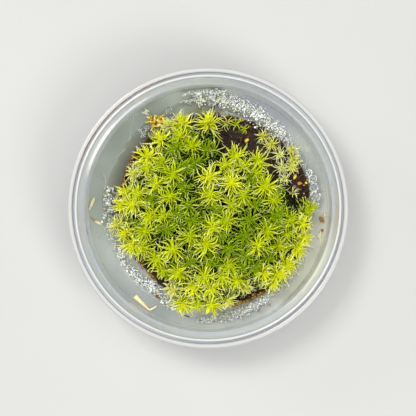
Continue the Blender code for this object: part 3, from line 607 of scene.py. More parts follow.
def peat_material():
    """Wet peat: near black, with brown patches, and rusty low on its side."""
    surface = Surface("wet_peat", IOR=1.40, Specular_IOR_Level=0.3)
    grain = surface.noise(0.9 * MM, detail=8.0, roughness=0.7)
    shades = ((0.30, (12, 7, 4)), (0.50, (30, 18, 10)), (0.64, (54, 34, 20)), (0.78, (112, 76, 44)))
    patches = surface.ramp(surface.noise(5.0 * MM, detail=3.0), (0.45, 0.0), (0.68, 0.75))
    rust = surface.ramp(grain, (0.3, (46, 29, 12)), (0.55, (80, 52, 18)), (0.75, (146, 110, 36)))
    share = surface.math("DIVIDE", surface.height(), PEAT_TOP)
    margin = surface.ramp(share, (0.66, 1.0), (0.86, 0.0))
    surface.feed(surface.shader.inputs["Roughness"], surface.ramp(grain, (0.3, 0.42), (0.7, 0.8)))
    surface.bump(surface.noise(0.35 * MM, detail=6.0, roughness=0.7), 0.18 * MM, 0.8)
    coats = (((54, 29, 14), patches), (rust, margin))
    return surface.colour(surface.paint(surface.ramp(grain, *shades), *coats))


def grained_material(name):
    """A three-colour grain with a matching bump, for straw, husks, bark and roots."""
    dark, middle, light, size_mm, roughness = GRAINS[name]
    surface = Surface(name, Roughness=roughness)
    grain = surface.noise(size_mm * MM, detail=6.0, roughness=0.65)
    surface.bump(grain, 0.05 * MM, 0.8)
    return surface.colour(surface.ramp(grain, (0.3, dark), (0.5, middle), (0.7, light)))


def polar(reach, turn, *more):
    """Points at these distances and bearings, with more coordinates after x and y."""
    return np.stack((reach * np.cos(turn), reach * np.sin(turn), *more), axis=-1)


def skins(rings, tips=None):
    """Closed bodies over stacks of rings: rings is bodies x stations x points x 3.

    Each body ends in a flat cap, or in a tip if tips gives one for each body.
    """
    count, stations, points, _ = rings.shape
    vertices = rings.reshape(count, stations * points, 3)
    ring = np.arange(points)
    after = (ring + 1) % points
    low = np.arange(stations - 1)[:, None] * points
    quads = np.stack((low + ring, low + points + ring, low + points + after, low + after), axis=-1)
    tris = [(0, point, point + 1) for point in range(1, points - 1)]
    last = (stations - 1) * points
    if tips is None:
        tris += [(last, last + point + 1, last + point) for point in range(1, points - 1)]
    else:
        vertices = np.concatenate((vertices, tips[:, None, :]), axis=1)
        tris += [(last + point, stations * points, last + after[point]) for point in ring]
    offsets = (np.arange(count) * vertices.shape[1])[:, None, None]
    quads = (quads.reshape(1, -1, 4) + offsets).reshape(-1, 4)
    tris = (np.array(tris)[None] + offsets).reshape(-1, 3)
    return vertices.reshape(-1, 3), quads, tris


def unit(vectors):
    """Vectors scaled to a length of one."""
    return vectors / np.maximum(np.linalg.norm(vectors, axis=-1, keepdims=True), 1e-12)


def tubes(paths, radii, sides, up=(0.0, 0.0, 1.0)):
    """Round tubes along paths: bodies x stations x 3, with a radius at each station."""
    along = unit(np.gradient(paths, axis=1))
    side = unit(np.cross(np.broadcast_to(np.array(up), along.shape), along))
    over = np.cross(along, side)
    turn = (np.arange(sides) * 2 * math.pi / sides)[:, None]
    circle = side[:, :, None] * np.cos(turn) - over[:, :, None] * np.sin(turn)
    return skins(paths[:, :, None] + circle * radii[:, :, None, None])


def revolved(profile, steps):
    """A closed turned body from a half section that starts and ends on the axis."""
    ring = np.arange(steps) * 2 * math.pi / steps
    radius, height = np.array(profile[1:-1]).T[..., None]
    rings = polar(radius, ring, np.repeat(height, steps, axis=1))
    poles = np.array(((0.0, 0.0, profile[0][1]), (0.0, 0.0, profile[-1][1])))
    vertices = np.concatenate((poles[:1], rings.reshape(-1, 3), poles[1:]))
    index = 1 + np.arange(len(radius) * steps).reshape(len(radius), steps)
    after = np.roll(index, -1, axis=1)
    quads = np.stack((index[:-1], index[1:], after[1:], after[:-1]), axis=-1).reshape(-1, 4)
    bottom = np.full(steps, len(vertices) - 1)
    first = np.stack((np.zeros(steps, int), index[0], after[0]), axis=-1)
    last = np.stack((index[-1], bottom, after[-1]), axis=-1)
    return vertices, quads, np.concatenate((first, last))


def rounded(corners):
    """A half section whose corners, given as (radius, height, rounding), become curves."""
    outline = []
    for number, (radius, height, rounding) in enumerate(corners):
        here = Vector((radius, height))
        if rounding == 0.0:
            outline.append((radius, height))
            continue
        before = Vector(corners[number - 1][:2]) - here
        after = Vector(corners[number + 1][:2]) - here
        start = here + before.normalized() * min(rounding, before.length * 0.48)
        end = here + after.normalized() * min(rounding, after.length * 0.48)
        for step in range(CORNER_STEPS + 1):
            share = step / CORNER_STEPS
            point = start.lerp(here, share).lerp(here.lerp(end, share), share)
            outline.append((point.x, point.y))
    return outline


def balls(centres, sizes, subdivisions=2):
    """Small closed spheres with these centres and half sizes, and the unit sphere they copy."""
    bm = bmesh.new()
    bmesh.ops.create_icosphere(bm, subdivisions=subdivisions, radius=1.0)
    template = np.array([vertex.co[:] for vertex in bm.verts])
    faces = np.array([[vertex.index for vertex in face.verts] for face in bm.faces])
    bm.free()
    vertices = centres[:, None] + template[None] * sizes[:, None]
    offsets = (np.arange(len(centres)) * len(template))[:, None, None]
    tris = (faces[None] + offsets).reshape(-1, 3)
    return vertices.reshape(-1, 3), np.zeros((0, 4), int), tris, template


def grains(rng, centres, sizes, rough=0.13, subdivisions=2):
    """Balls with rough surfaces, as balls gives them."""
    vertices, quads, tris, template = balls(centres, sizes, subdivisions)
    vertices += rng.normal(0.0, rough, vertices.shape) * np.repeat(sizes, len(template), axis=0)
    return vertices, quads, tris, template


def joined(parts):
    """Several bodies of vertices, quads, tris and one more row per vertex as one."""
    offset = 0
    piles = [[], [], [], []]
    for vertices, quads, tris, extra in parts:
        for pile, rows in zip(piles, (vertices, quads + offset, tris + offset, extra)):
            pile.append(rows)
        offset += len(vertices)
    return [np.concatenate(pile) for pile in piles]


def make_piece(name, body, material, nodes=(), uv=None):
    """A smooth mesh object that rides on the root body and may stand for some of the solids."""
    vertices, quads, tris = body[:3]
    mesh = bpy.data.meshes.new(name)
    mesh.vertices.add(len(vertices))
    mesh.vertices.foreach_set("co", np.ascontiguousarray(vertices, np.float32).ravel())
    corners = np.concatenate((quads.ravel(), tris.ravel())).astype(np.int32)
    mesh.loops.add(len(corners))
    mesh.loops.foreach_set("vertex_index", corners)
    starts = np.concatenate((np.arange(len(quads)) * 4, len(quads) * 4 + np.arange(len(tris)) * 3))
    mesh.polygons.add(len(starts))
    mesh.polygons.foreach_set("loop_start", starts.astype(np.int32))
    mesh.update(calc_edges=True)
    mesh.shade_smooth()
    if uv is not None:
        layer = mesh.uv_layers.new(name="OFBake")
        layer.uv.foreach_set("vector", np.ascontiguousarray(uv[corners], np.float32).ravel())
    mesh.materials.append(material)
    piece = bpy.data.objects.new(name, mesh)
    bpy.context.scene.collection.objects.link(piece)
    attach(piece, "root")
    if nodes:
        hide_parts(*nodes)


def ball_uv(rng, template, tones, rows):
    """OFBake coordinates of small balls: across each ball, in its row at a random shade."""
    row = swatch_row(tones, rows, rng.uniform(0, 1, len(tones)))
    v = row[:, None] + TONE_EDGE * template[None, :, 1]
    u = np.broadcast_to(0.5 + 0.46 * template[None, :, 0], v.shape)
    return np.stack((u, v), axis=-1).reshape(-1, 2)


def leaf_uv(rows, ends):
    """OFBake coordinates of leaves: u along each leaf up to its end, and v at its row."""
    u = np.append(np.repeat(STATIONS[:-1], 3), 1.0) * ends[:, None]
    across = np.append(np.tile((TONE_EDGE, 0.0, -TONE_EDGE), len(STATIONS) - 1), 0.0)
    v = rows[:, None] + across
    return np.stack((u, v), axis=-1).reshape(-1, 2)


def leaf_bodies(base, azimuth, rise, bend, sweep, sway, twist, length, width):
    """Leaves as keeled straps: each leaves its base at a rise, then bends, sweeps and twists."""
    place = np.broadcast_to(STATIONS, (len(azimuth), len(STATIONS)))

    def heading(share):
        angle = azimuth[:, None] + sweep[:, None] * share ** 2
        angle = angle + sway[:, None] * np.sin(share * 2 * math.pi)
        climb = rise[:, None] - bend[:, None] * share
        return polar(np.cos(climb), angle, np.sin(climb)), angle

    travel = heading((place[:, 1:] + place[:, :-1]) / 2)[0]
    travel = travel * (length[:, None] * np.diff(place))[..., None]
    spine = np.concatenate((base[:, None], base[:, None] + np.cumsum(travel, axis=1)), axis=1)
    along, angle = heading(place)
    side = np.stack((-np.sin(angle), np.cos(angle), np.zeros_like(angle)), axis=-1)
    over = np.cross(along, side)
    roll = (twist[:, None] * place)[..., None]
    across = side * np.cos(roll) + over * np.sin(roll)
    over = over * np.cos(roll) - side * np.sin(roll)
    half = (width[:, None] * STATION_WIDTHS / 2)[..., None]
    cupped = spine + over * half * LEAF_CUP * 2
    keel = spine - over * half * LEAF_KEEL * 2
    rings = np.stack((cupped + across * half, keel, cupped - across * half), axis=2)
    return skins(rings[:, :-1], spine[:, -1])


def shoot(rng, centre, reach, tone, leaves, drop, lean, width=LEAF_WIDTH):
    """One shoot of moss: short steep leaves at its tip, long flat ones below."""
    step = (np.arange(leaves) + 0.5) / leaves
    azimuth = np.arange(leaves) * GOLDEN_ANGLE + rng.uniform(0, 2 * math.pi)
    azimuth += rng.normal(0.0, 0.16, leaves)
    rise = (80.0 - 78.0 * step ** 0.64 + rng.normal(0.0, 7.0, leaves)) * DEG
    bend = rng.uniform(-8.0, 62.0, leaves) * DEG * (0.35 + 0.65 * step)
    sweep, sway, twist = (rng.normal(0.0, spread, leaves) * DEG for spread in LEAF_SPREADS)
    length = reach * (0.42 + 0.70 * step ** 0.7) * rng.uniform(0.76, 1.16, leaves)
    thick = width * rng.uniform(0.78, 1.14, leaves) * (0.88 + 0.12 * np.minimum(step * 3, 1))
    base = polar(STEM_EDGE * (0.3 + step), azimuth, -drop * step)
    number = np.full(leaves, TONE_NAMES.index(tone))
    if tone in GREEN_TONES:
        number[step > OLD_LEAVES] = min(number[0] + 1, TONE_NAMES.index("shade"))
        stray = rng.uniform(0, 1, leaves)
        number[stray < PALE_STRAYS] = TONE_NAMES.index("pale")
        number[stray < WHITE_STRAYS] = TONE_NAMES.index("white")
        thick[stray < PALE_STRAYS] *= 0.7
    curve = (azimuth, rise, bend, sweep, sway, twist)
    vertices, quads, tris = leaf_bodies(base, *curve, length, thick)
    tilt = Vector((0, 0, 1)).rotation_difference(Vector((*lean, 1.0))).to_matrix()
    vertices = vertices @ np.array(tilt).T + centre
    # Painted light: leaves high in a head are lighter and low ones darker, for the light through the
    # head's middle and the shade under it; the rest differs at random.
    shade = np.clip(0.86 - 0.56 * step + rng.normal(0.0, 0.2, leaves), 0.0, 1.0)
    ends = np.clip(0.45 + 1.6 * step, 0.0, 1.0)
    return vertices, quads, tris, leaf_uv(swatch_row(number, len(TONES), shade), ends)


def bud(centre, reach, tone):
    """The closed bud of young leaves in the middle of a shoot head."""
    sizes = reach * np.array((BUD_HALF_SIZE,))
    vertices, quads, tris, template = balls(centre[None] - (0.0, 0.0, BUD_DROP * reach), sizes)
    row = swatch_row(TONE_NAMES.index(tone), len(TONES), BUD_SHADE)
    u = 0.08 + 0.3 * np.hypot(template[:, 0], template[:, 1])
    return vertices, quads, tris, np.stack((u, row + TONE_EDGE * template[:, 0]), axis=-1)


def dome_height(x, y):
    """Height of the shoot heads over the dish's underside."""
    return CROWN_HEIGHT - DOME_DROP * (math.hypot(x, y) / DOME_RADIUS) ** 2


def outward_lean(rng, x, y, most=0.34, loose=0.09):
    """How a shoot leans: outwards near the cushion's edge, and a little at random."""
    away = most * (math.hypot(x, y) / DOME_RADIUS) ** 2 / max(math.hypot(x, y), MM)
    return (x * away + rng.normal(0.0, loose), y * away + rng.normal(0.0, loose))


def cushion_shoots(rng):
    """Every shoot head of the cushion, as (x, leaf body) pairs."""
    made = []
    for x_mm, y_mm, reach, lift, tone in CUSHION_SHOOTS:
        x = x_mm * MM
        y = y_mm * MM
        centre = np.array((x, y, dome_height(x, y) + lift * MM))
        leaves, drop, stretch = EDGE_HEAD if math.hypot(x, y) > EDGE_START else INNER_HEAD
        lean = outward_lean(rng, x, y)
        head = shoot(rng, centre, reach * stretch * MM, tone, leaves, drop * MM, lean)
        made.append((x, joined((head, bud(centre, reach * MM, tone)))))
    return made


def undergrowth(rng):
    """Lower, darker shoots that fill the cushion between its heads."""
    heads = np.array([row[:2] for row in CUSHION_SHOOTS]) * MM
    nearest, furthest = UNDERGROWTH_GAP
    placed = []
    reach, leaves, drop = UNDERGROWTH_HEAD
    for x, y in rng.uniform(-DOME_RADIUS, DOME_RADIUS, (UNDERGROWTH_TRIES, 2)):
        gap = np.hypot(*(heads - (x, y)).T).min()
        crowd = [math.hypot(x - a, y - b) < UNDERGROWTH_SPACING for a, b in placed]
        inside = math.hypot(x, y) < mat_reach(math.atan2(y, x)) + UNDERGROWTH_OUTSIDE
        if inside and nearest < gap < furthest and not any(crowd):
            placed.append((x, y))
    made = []
    for x, y in placed:
        centre = np.array((x, y, dome_height(x, y) - rng.uniform(*UNDERGROWTH_DEPTH)))
        tone = "deep" if rng.uniform() < 0.5 else "shade"
        lean = outward_lean(rng, x, y, 0.5, 0.2)
        made.append((x, shoot(rng, centre, reach * MM, tone, leaves, drop * MM, lean)))
    return made


def mat_reach(bearing):
    """How far the cushion's core reaches at a bearing in radians."""
    best = 0.0
    for x, y, _, _, _ in CUSHION_SHOOTS:
        off = abs((math.atan2(y, x) - bearing + math.pi) % (2 * math.pi) - math.pi)
        fall = max(0.0, off / DEG - HEAD_SPAN_DEGREES) * HEAD_FALL_MM
        best = max(best, math.hypot(x, y) - fall)
    return (best - CORE_INSET_MM) * MM


def build_core():
    """The shaded mass of old stems and leaves inside the cushion."""
    profile = [(0.0, 1.0)]
    profile += [(share, 1.0) for share in np.linspace(0.04, 0.9, 30)]
    profile += [(0.9 + 0.1 * math.sin(a), math.cos(a)) for a in np.linspace(0.2, 1.5, 6)]
    profile += [(0.97, 0.0), (0.5, 0.0), (0.0, 0.0)]
    vertices, quads, tris = revolved(profile, 120)
    base = PEAT_TOP - 0.3 * MM
    for vertex in vertices:
        x, y = vertex[:2] * mat_reach(math.atan2(vertex[1], vertex[0]))
        rough = noise.noise(Vector((x, y, 0.0)) / (2.2 * MM)) * 1.1 * MM
        top = dome_height(x, y) - CORE_DEPTH + rough
        vertex[:] = (x, y, base + (top - base) * vertex[2])
    surface = Surface("moss_shade", Roughness=0.8, Specular_IOR_Level=0.1)
    grain = surface.noise(0.7 * MM, detail=5.0)
    shades = ((0.35, (12, 10, 3)), (0.6, (28, 26, 8)), (0.75, (48, 48, 16)))
    material = surface.colour(surface.ramp(grain, *shades))
    make_piece("moss_core", (vertices, quads, tris), material, ["moss_cushion"])


def build_moss():
    """The cushion's leaves in a few pieces from left to right, and the low shoots."""
    rng = np.random.default_rng(11)
    rows = list(TONES.values())
    material = swatch_material("moss_leaf", rows, Roughness=0.55, Specular_IOR_Level=0.08)
    build_core()
    kinds = (("moss_shoots", cushion_shoots(rng), 3), ("moss_undergrowth", undergrowth(rng), 2))
    for name, made, parts in kinds:
        made.sort(key=lambda row: row[0])
        size = math.ceil(len(made) / parts)
        for part in range(parts):
            body = joined([row[1] for row in made[part * size:(part + 1) * size]])
            piece_name = f"{name}_{part + 1}"
            make_piece(piece_name, body, material, ["moss_cushion"], body[3])
    build_stems(rng)
    for name, node, slot, leaves, drop, width, shoots in LOW_SHOOTS:
        made = []
        for x, y, reach, height, tone in shoots:
            centre = np.array((x, y, height)) * MM
            lean = rng.normal(0.0, 0.16, 2)
            made.append(shoot(rng, centre, reach * MM, tone, leaves, drop * MM, lean, width * MM))
        body = joined(made)
        make_piece(name, body, material, [node], body[3])


def build_stems(rng):
    """Thin stems under the cushion's heads and the low shoots."""
    foot = PEAT_TOP / MM - 0.6
    rows = []
    for x, y, _, lift, _ in CUSHION_SHOOTS:
        rows.append((x, y, dome_height(x * MM, y * MM) / MM + lift, foot, 0.9))
    for x, y, _, top, tone in sum((row[-1] for row in LOW_SHOOTS), ()):
        rows.append((x, y, top, GEL_TOP / MM if tone == "dead" else foot, 1.0))
    x, y, top, low, lean = np.array(rows).T[:, :, None]
    share = np.linspace(0.0, 1.0, 6)[None]
    swing = rng.normal(0.0, 0.25, (2, len(rows), 1)) * np.sin(share * math.pi)
    spread = lean + (1.0 - lean) * share
    paths = np.stack((x * spread + swing[0], y * spread + swing[1], low + (top - low) * share), -1)
    radii = np.repeat(STEM_RADIUS * (1.0 - 0.45 * share), len(rows), axis=0)
    body = tubes(paths * MM, radii, 5, up=(1.0, 0.0, 0.0))
    make_piece("moss_stems", body, grained_material("moss_stem"), ["moss_cushion"])


def build_dish():
    """The moulded dish, with soft rims and a shoulder half-way up the inside."""
    inner = INNER_TOP_RADIUS
    groove_floor = DISH_HEIGHT - GROOVE_DEPTH
    bead_top = DISH_HEIGHT - 0.1 * MM
    band_foot = DISH_HEIGHT - BAND_HEIGHT
    foot = INNER_FOOT_RADIUS + DISH_WALL
    recess = 0.25 * MM
    corners = [
        (0.0, DISH_FLOOR, 0.0),
        (20.0 * MM, DISH_FLOOR, 0.0),
        (37.0 * MM, DISH_FLOOR, 0.0),
        (INNER_FOOT_RADIUS - 0.05 * MM, DISH_FLOOR, 0.6 * MM),
        (INNER_FOOT_RADIUS + 0.05 * MM, SHELF_FOOT, 0.12 * MM),
        (INNER_FOOT_RADIUS + 0.95 * MM, SHELF_TOP, 0.15 * MM),
        (inner, groove_floor - 0.2 * MM, 0.3 * MM),
        (inner + 0.1 * MM, bead_top, 0.4 * MM),
        (GROOVE_RADIUS - 0.1 * MM, bead_top, 0.4 * MM),
        (GROOVE_RADIUS, groove_floor, 0.18 * MM),
        (BAND_RADIUS, groove_floor, 0.18 * MM),
        (BAND_RADIUS + 0.15 * MM, DISH_HEIGHT, 0.4 * MM),
        (DISH_RADIUS, DISH_HEIGHT, 0.5 * MM),
        (DISH_RADIUS, band_foot, 0.3 * MM),
        (inner + DISH_WALL, band_foot - 0.5 * MM, 0.4 * MM),
        (foot, 0.0, 0.9 * MM),
        (foot - 1.6 * MM, 0.0, 0.3 * MM),
        (foot - 1.9 * MM, recess, 0.2 * MM),
        (20.0 * MM, recess, 0.0),
        (0.0, recess, 0.0),
    ]
    body = revolved(rounded(corners), 256)
    make_piece("dish", body, plastic_material(), ["culture_dish"])


def wave(values, angle):
    """Smooth values at angles in radians, from values spaced evenly round a circle."""
    place = np.asarray(angle) / (2 * math.pi) % 1.0 * len(values)
    low = place.astype(int)
    share = 0.5 - 0.5 * np.cos((place - low) * math.pi)
    first = np.take(values, low, mode="wrap")
    return first + (np.take(values, low + 1, mode="wrap") - first) * share


def build_gel():
    """The jelly pad, its edge rounded down to the dish's floor."""
    bottom = DISH_FLOOR - 0.06 * MM
    taper = np.linspace(0.0, 1.0, 9)
    profile = [(0.0, 1.0), (0.5, 1.0)]
    profile += [(0.78 + 0.22 * share, 0.5 + 0.5 * math.cos(share * math.pi)) for share in taper[:-1]]
    profile += [(1.0, 0.005), (0.99, 0.0), (0.5, 0.0), (0.0, 0.0)]
    vertices, quads, tris = revolved(profile, 160)
    for vertex in vertices:
        angle = math.atan2(vertex[1], vertex[0])
        ragged = 0.5 * noise.noise(Vector((math.cos(angle), math.sin(angle), 0.0)) * 9.0)
        reach = (wave(GEL_REACH_MM, angle) + ragged) * MM
        dip = 0.12 * MM * noise.noise(Vector((vertex[0], vertex[1], 0.0)) * 12.0)
        height = bottom + (GEL_TOP - 0.15 * MM + dip - bottom) * vertex[2]
        vertex[:] = (vertex[0] * reach, vertex[1] * reach, height)
    make_piece("jelly_pad", (vertices, quads, tris), gel_material(), ["gel_pad"])


def build_peat():
    """The plug: crumbly on top, with a ragged edge."""
    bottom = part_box("peat_plug")[0][2]
    profile = [(0.0, 1.0)]
    profile += [(share, 1.0) for share in np.linspace(0.02, 0.86, 70)]
    profile += [(0.86 + 0.14 * math.sin(a), math.cos(a)) for a in np.linspace(0.08, 1.5, 16)]
    profile += [(0.995, 0.0), (0.8, 0.0), (0.4, 0.0), (0.0, 0.0)]
    vertices, quads, tris = revolved(profile, 260)
    for vertex in vertices:
        flat = Vector((vertex[0], vertex[1], 0.0))
        shape = noise.fractal(flat * 7.0, 1.0, 2.1, 5)
        fine = noise.fractal(flat * 34.0, 1.0, 2.0, 3)
        ragged = 0.03 * noise.fractal(flat * 5.0 + Vector((3.0, 0.0, 0.0)), 1.0, 2.2, 4)
        reach = wave(PEAT_REACH_MM, math.atan2(flat.y, flat.x)) * MM
        side = (1.0 + ragged * flat.length ** 4) * reach
        height = PEAT_TOP - bottom + (0.55 * shape + 0.28 * fine) * MM
        vertex[:] = (vertex[0] * side, vertex[1] * side, bottom + height * vertex[2])
    make_piece("peat", (vertices, quads, tris), peat_material(), ["peat_plug"])
    build_crumbs()


def bare_places(rng, count, most):
    """Points on the peat, up to a share of its reach, that no shoot of the cushion covers."""
    heads = np.array([row[:2] for row in CUSHION_SHOOTS]) * MM
    turn = rng.uniform(0, 2 * math.pi, count * 12)
    away = wave(PEAT_REACH_MM, turn) * MM * most * np.sqrt(rng.uniform(0, 1, count * 12))
    points = polar(away, turn)
    gap = np.linalg.norm(points[:, None] - heads[None], axis=-1).min(axis=1)
    return points[gap > 3.2 * MM][:count]


def build_crumbs():
    """Crumbs of peat on the bare places, rusty where the plug's edge is stained."""
    rng = np.random.default_rng(23)
    points = bare_places(rng, 500, 1.0)
    count = len(points)
    sizes = rng.uniform(0.10, 0.42, (count, 1)) * rng.uniform(0.7, 1.3, (count, 3)) * MM
    height = PEAT_TOP + rng.uniform(-0.1, 0.3, count) * MM
    body = grains(rng, np.column_stack((points, height)), sizes)
    tone = (rng.uniform(0, 1, count) < 0.1).astype(int)
    turn = np.degrees(np.arctan2(points[:, 1], points[:, 0])) % 360.0
    stained = [(turn > first) & (turn < last) for first, last, _ in STAINED_EDGES[:2]]
    margin = np.hypot(*points.T) > wave(PEAT_REACH_MM, turn * DEG) * MM * 0.93
    rusty = margin & np.any(stained, axis=0)
    tone[rusty] = rng.integers(1, 3, rusty.sum())
    uv = ball_uv(rng, body[3], tone, len(CRUMB_ROWS))
    material = swatch_material("peat_crumb", CRUMB_ROWS, Roughness=0.5)
    make_piece("peat_crumbs", body, material, ["peat_plug"], uv)
    build_stained_edge(rng, material)
    build_fibres(rng)


def build_stained_edge(rng, material):
    """Yellow and rusty crumbs low on the plug's side, where it is stained."""
    turn = np.concatenate([rng.uniform(*span) * DEG for span in STAINED_EDGES])
    count = len(turn)
    share = rng.uniform(0, 1, count)
    away = wave(PEAT_REACH_MM, turn) * MM * (1.015 - 0.03 * share)
    centres = polar(away, turn, GEL_TOP + (0.1 + 4.4 * share ** 2) * MM)
    sizes = rng.uniform(0.12, 0.42, (count, 1)) * rng.uniform(0.7, 1.3, (count, 3)) * MM
    body = grains(rng, centres, sizes)
    uv = ball_uv(rng, body[3], rng.integers(1, 3, count), len(CRUMB_ROWS))
    make_piece("stained_crumbs", body, material, ["peat_plug"], uv)


def build_fibres(rng):
    """Thin bent fibres lying on the bare peat."""
    points = bare_places(rng, 260, 0.95)
    count = len(points)
    turn = rng.uniform(0, 2 * math.pi, (count, 1))
    share = np.linspace(-1.0, 1.0, 7)[None]
    half = rng.uniform(0.6, 2.2, (count, 1)) * MM
    bow = rng.normal(0.0, 0.35, (count, 1)) * half * share ** 2
    x = points[:, :1] + half * share * np.cos(turn) - bow * np.sin(turn)
    y = points[:, 1:] + half * share * np.sin(turn) + bow * np.cos(turn)
    z = PEAT_TOP + (0.35 - 0.5 * share ** 2) * rng.uniform(0.5, 1.6, (count, 1)) * MM
    radii = rng.uniform(0.05, 0.13, (count, 1)) * MM * (1.0 - 0.5 * share ** 2)
    body = tubes(np.stack((x, y, z), axis=-1), radii, 4)
    make_piece("peat_fibres", body, grained_material("peat_fibre"), ["peat_plug"])


def froth_patch(rng, first, last, near, far, near_end, far_end, count, largest, white):
    """One patch of bubbles between two bearings and the radii of its edges."""
    share = rng.uniform(0, 1, count)
    bearing = (first + (last - first) * share) * DEG
    inner = near + (near_end - near) * share
    outer = far + (far_end - far) * share
    drift = np.array([noise.noise(Vector((angle * 9.0, near, 0.0))) for angle in bearing])
    off = np.clip(0.5 * drift + 0.5 * rng.normal(0.0, 1.0, count), -1.3, 1.3)
    radius = (inner + outer) / 2 + (outer - inner) / 2 * off
    size = 0.13 + (largest - 0.13) * rng.uniform(0, 1, count) ** 2.2
    layer = rng.uniform(0, 1, count) ** 2 * 1.1 * np.exp(-off ** 2)
    floor = np.where(radius < wave(PEAT_REACH_MM, bearing), PEAT_TOP, GEL_TOP - 0.12 * MM)
    centres = polar(radius * MM, bearing, (size * 0.75 + layer) * MM + floor)
    body = balls(centres, size[:, None] * (1.0, 1.0, 0.9) * MM)
    pick = rng.uniform(0, 1, count)
    # Painted shade: the patches nearest the plug are mostly dark grey froth.
    common = SHADED_FROTH if white < 0.2 else CLEAR_FROTH
    tone = np.where(pick < white, WHITE_FROTH, np.where(pick < 0.90, common, OLIVE_FROTH))
    return *body[:3], ball_uv(rng, body[3], tone, len(FROTH_ROWS))


def bubble_highlight_rims(name, rng, centres, radii, count, sizes, material, nodes):
    """Rings of small white bubbles round larger ones: painted highlights that stand in for the bright
    rims of light on them.
    """
    turn = rng.uniform(0, 2 * math.pi, (len(centres), count))
    size = rng.uniform(*sizes, turn.shape) * MM
    ring = radii * rng.uniform(0.92, 1.08, turn.shape)
    rise = radii * rng.uniform(-0.2, 0.5, turn.shape)
    spots = (polar(ring, turn, rise) + centres[:, None]).reshape(-1, 3)
    body = balls(spots, np.repeat(size.reshape(-1, 1), 3, axis=1))
    uv = ball_uv(rng, body[3], np.full(len(spots), WHITE_FROTH), len(FROTH_ROWS))
    make_piece(name, body, material, nodes, uv)


def build_froth():
    """Crusts of small bubbles where the jelly meets the plug, larger ones, and clear drops."""
    rng = np.random.default_rng(41)
    foam = swatch_material(
        "froth", FROTH_ROWS, Roughness=0.08, IOR=1.33, Transmission_Weight=0.10, Coat_Weight=1.0
    )
    for name, patches in FROTH.items():
        body = joined([froth_patch(rng, *patch) for patch in patches])
        make_piece(f"{name}_foam", body, foam, [name], body[3])
    surface = Surface("clear_bubble", Roughness=0.04, IOR=1.33, Transmission_Weight=0.80)
    film = surface.noise(0.9 * MM, detail=2.0)
    clear = surface.colour(surface.ramp(film, (0.3, (220, 226, 222)), (0.7, (244, 246, 244))))
    for name, rims, rows, lift, flat, detail, count, sizes, nodes in (
        ("right_bubbles", "bubble_highlight_rims", BUBBLES, 0.86, 0.9, 4, 30, (0.16, 0.38), ["bubbles_right"]),
        ("clear_drops", "drop_highlight_rims", DROPS, 0.5, 0.7, 3, 12, (0.12, 0.24), []),
    ):
        x, y, radii = np.array(rows).T * MM
        centres = np.stack((x, y, radii * lift + GEL_TOP), axis=-1)
        radii = radii[:, None]
        make_piece(name, balls(centres, radii * (1.0, 1.0, flat), detail), clear, nodes)
        # Painted highlights: white rims round the larger bubbles and drops.
        bubble_highlight_rims(rims, rng, centres, radii, count, sizes, foam, nodes)


def smooth_path(points, stations):
    """A curve through a few points by Catmull-Rom pieces, read at even stations."""
    points = np.array(points, float)
    ends = (2 * points[:1] - points[1:2], points, 2 * points[-1:] - points[-2:-1])
    padded = np.concatenate(ends)
    places = np.linspace(0, len(points) - 1, stations)
    low = np.minimum(places.astype(int), len(points) - 2)
    t = (places - low)[:, None]
    a, b, c, d = (padded[low + offset] for offset in range(4))
    curve = 2 * b + (c - a) * t + (2 * a - 5 * b + 4 * c - d) * t ** 2
    return (curve + (3 * b - a - 3 * c + d) * t ** 3) / 2


def strap(points, thickness):
    """A thin curled strap on the dish's floor along points of x, y, lift and width in mm."""
    path = smooth_path(points, STRAP_STATIONS)
    spine = path[:, :3] + (0.0, 0.0, STRAP_REST_MM)
    along = unit(np.gradient(spine, axis=0))
    side = unit(np.cross((0.0, 0.0, 1.0), along))
    over = np.cross(along, side)
    place = np.linspace(1.0, -1.0, STRAP_ACROSS)
    half = path[:, 3:] / 2
    lift = (STRAP_CURL * place ** 2 + 0.06 * np.cos(place * 9.0))[None] * half + thickness / 2
    top = spine[:, None] + side[:, None] * (half * place)[..., None]
    top = top + over[:, None] * lift[..., None]
    under = top - over[:, None] * thickness
    rings = np.concatenate((under, top[:, ::-1]), axis=1)
    return skins(rings[None] * MM)


def build_straw():
    """Straws, chips and husks lying on the dish's floor."""
    pale = grained_material("straw")
    brown = grained_material("twig")
    for name, (node, points) in STRAWS.items():
        look = brown if name == "chip_1" else pale
        make_piece(name, strap(points, 0.14), look, [node])
    star = []
    x, y = STAR_CENTRE
    for bearing, length in STAR_ARMS:
        east = math.cos(bearing * DEG) * length
        north = math.sin(bearing * DEG) * length
        middle = (x + east / 2, y + north / 2, 0.35, 0.55)
        star.append(((x, y, 0.2, 0.4), middle, (x + east, y + north, 0.0, 0.2)))
    material = grained_material("pale_husk")
    for name, rows, node in (("husk", HUSK, "pale_husk"), ("husk_star", star, "star_husk")):
        straps = [strap(points, 0.12) for points in rows]
        body = joined([(*part, part[0]) for part in straps])
        make_piece(name, body, material, [node])


def pebble(name, node, place, half, bearing, material, lump, seed):
    """One grain, seed or husk as a lumpy oval on what carries it."""
    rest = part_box(node)[0][2]
    vertices, quads, tris, template = balls(np.zeros((1, 3)), np.array([half]) * MM, 4)
    for vertex, spot in zip(vertices, template):
        where = Vector(spot) * 1.6 + Vector((seed, 0.0, 0.0))
        vertex *= 1.0 + lump * noise.fractal(where, 1.0, 2.0, 3)
    cos = math.cos(bearing * DEG)
    sin = math.sin(bearing * DEG)
    x = vertices[:, 0] * cos - vertices[:, 1] * sin + place[0] * MM
    y = vertices[:, 0] * sin + vertices[:, 1] * cos + place[1] * MM
    z = vertices[:, 2] - vertices[:, 2].min() + rest - 0.05 * MM
    make_piece(name, (np.stack((x, y, z), axis=-1), quads, tris), material, [node])


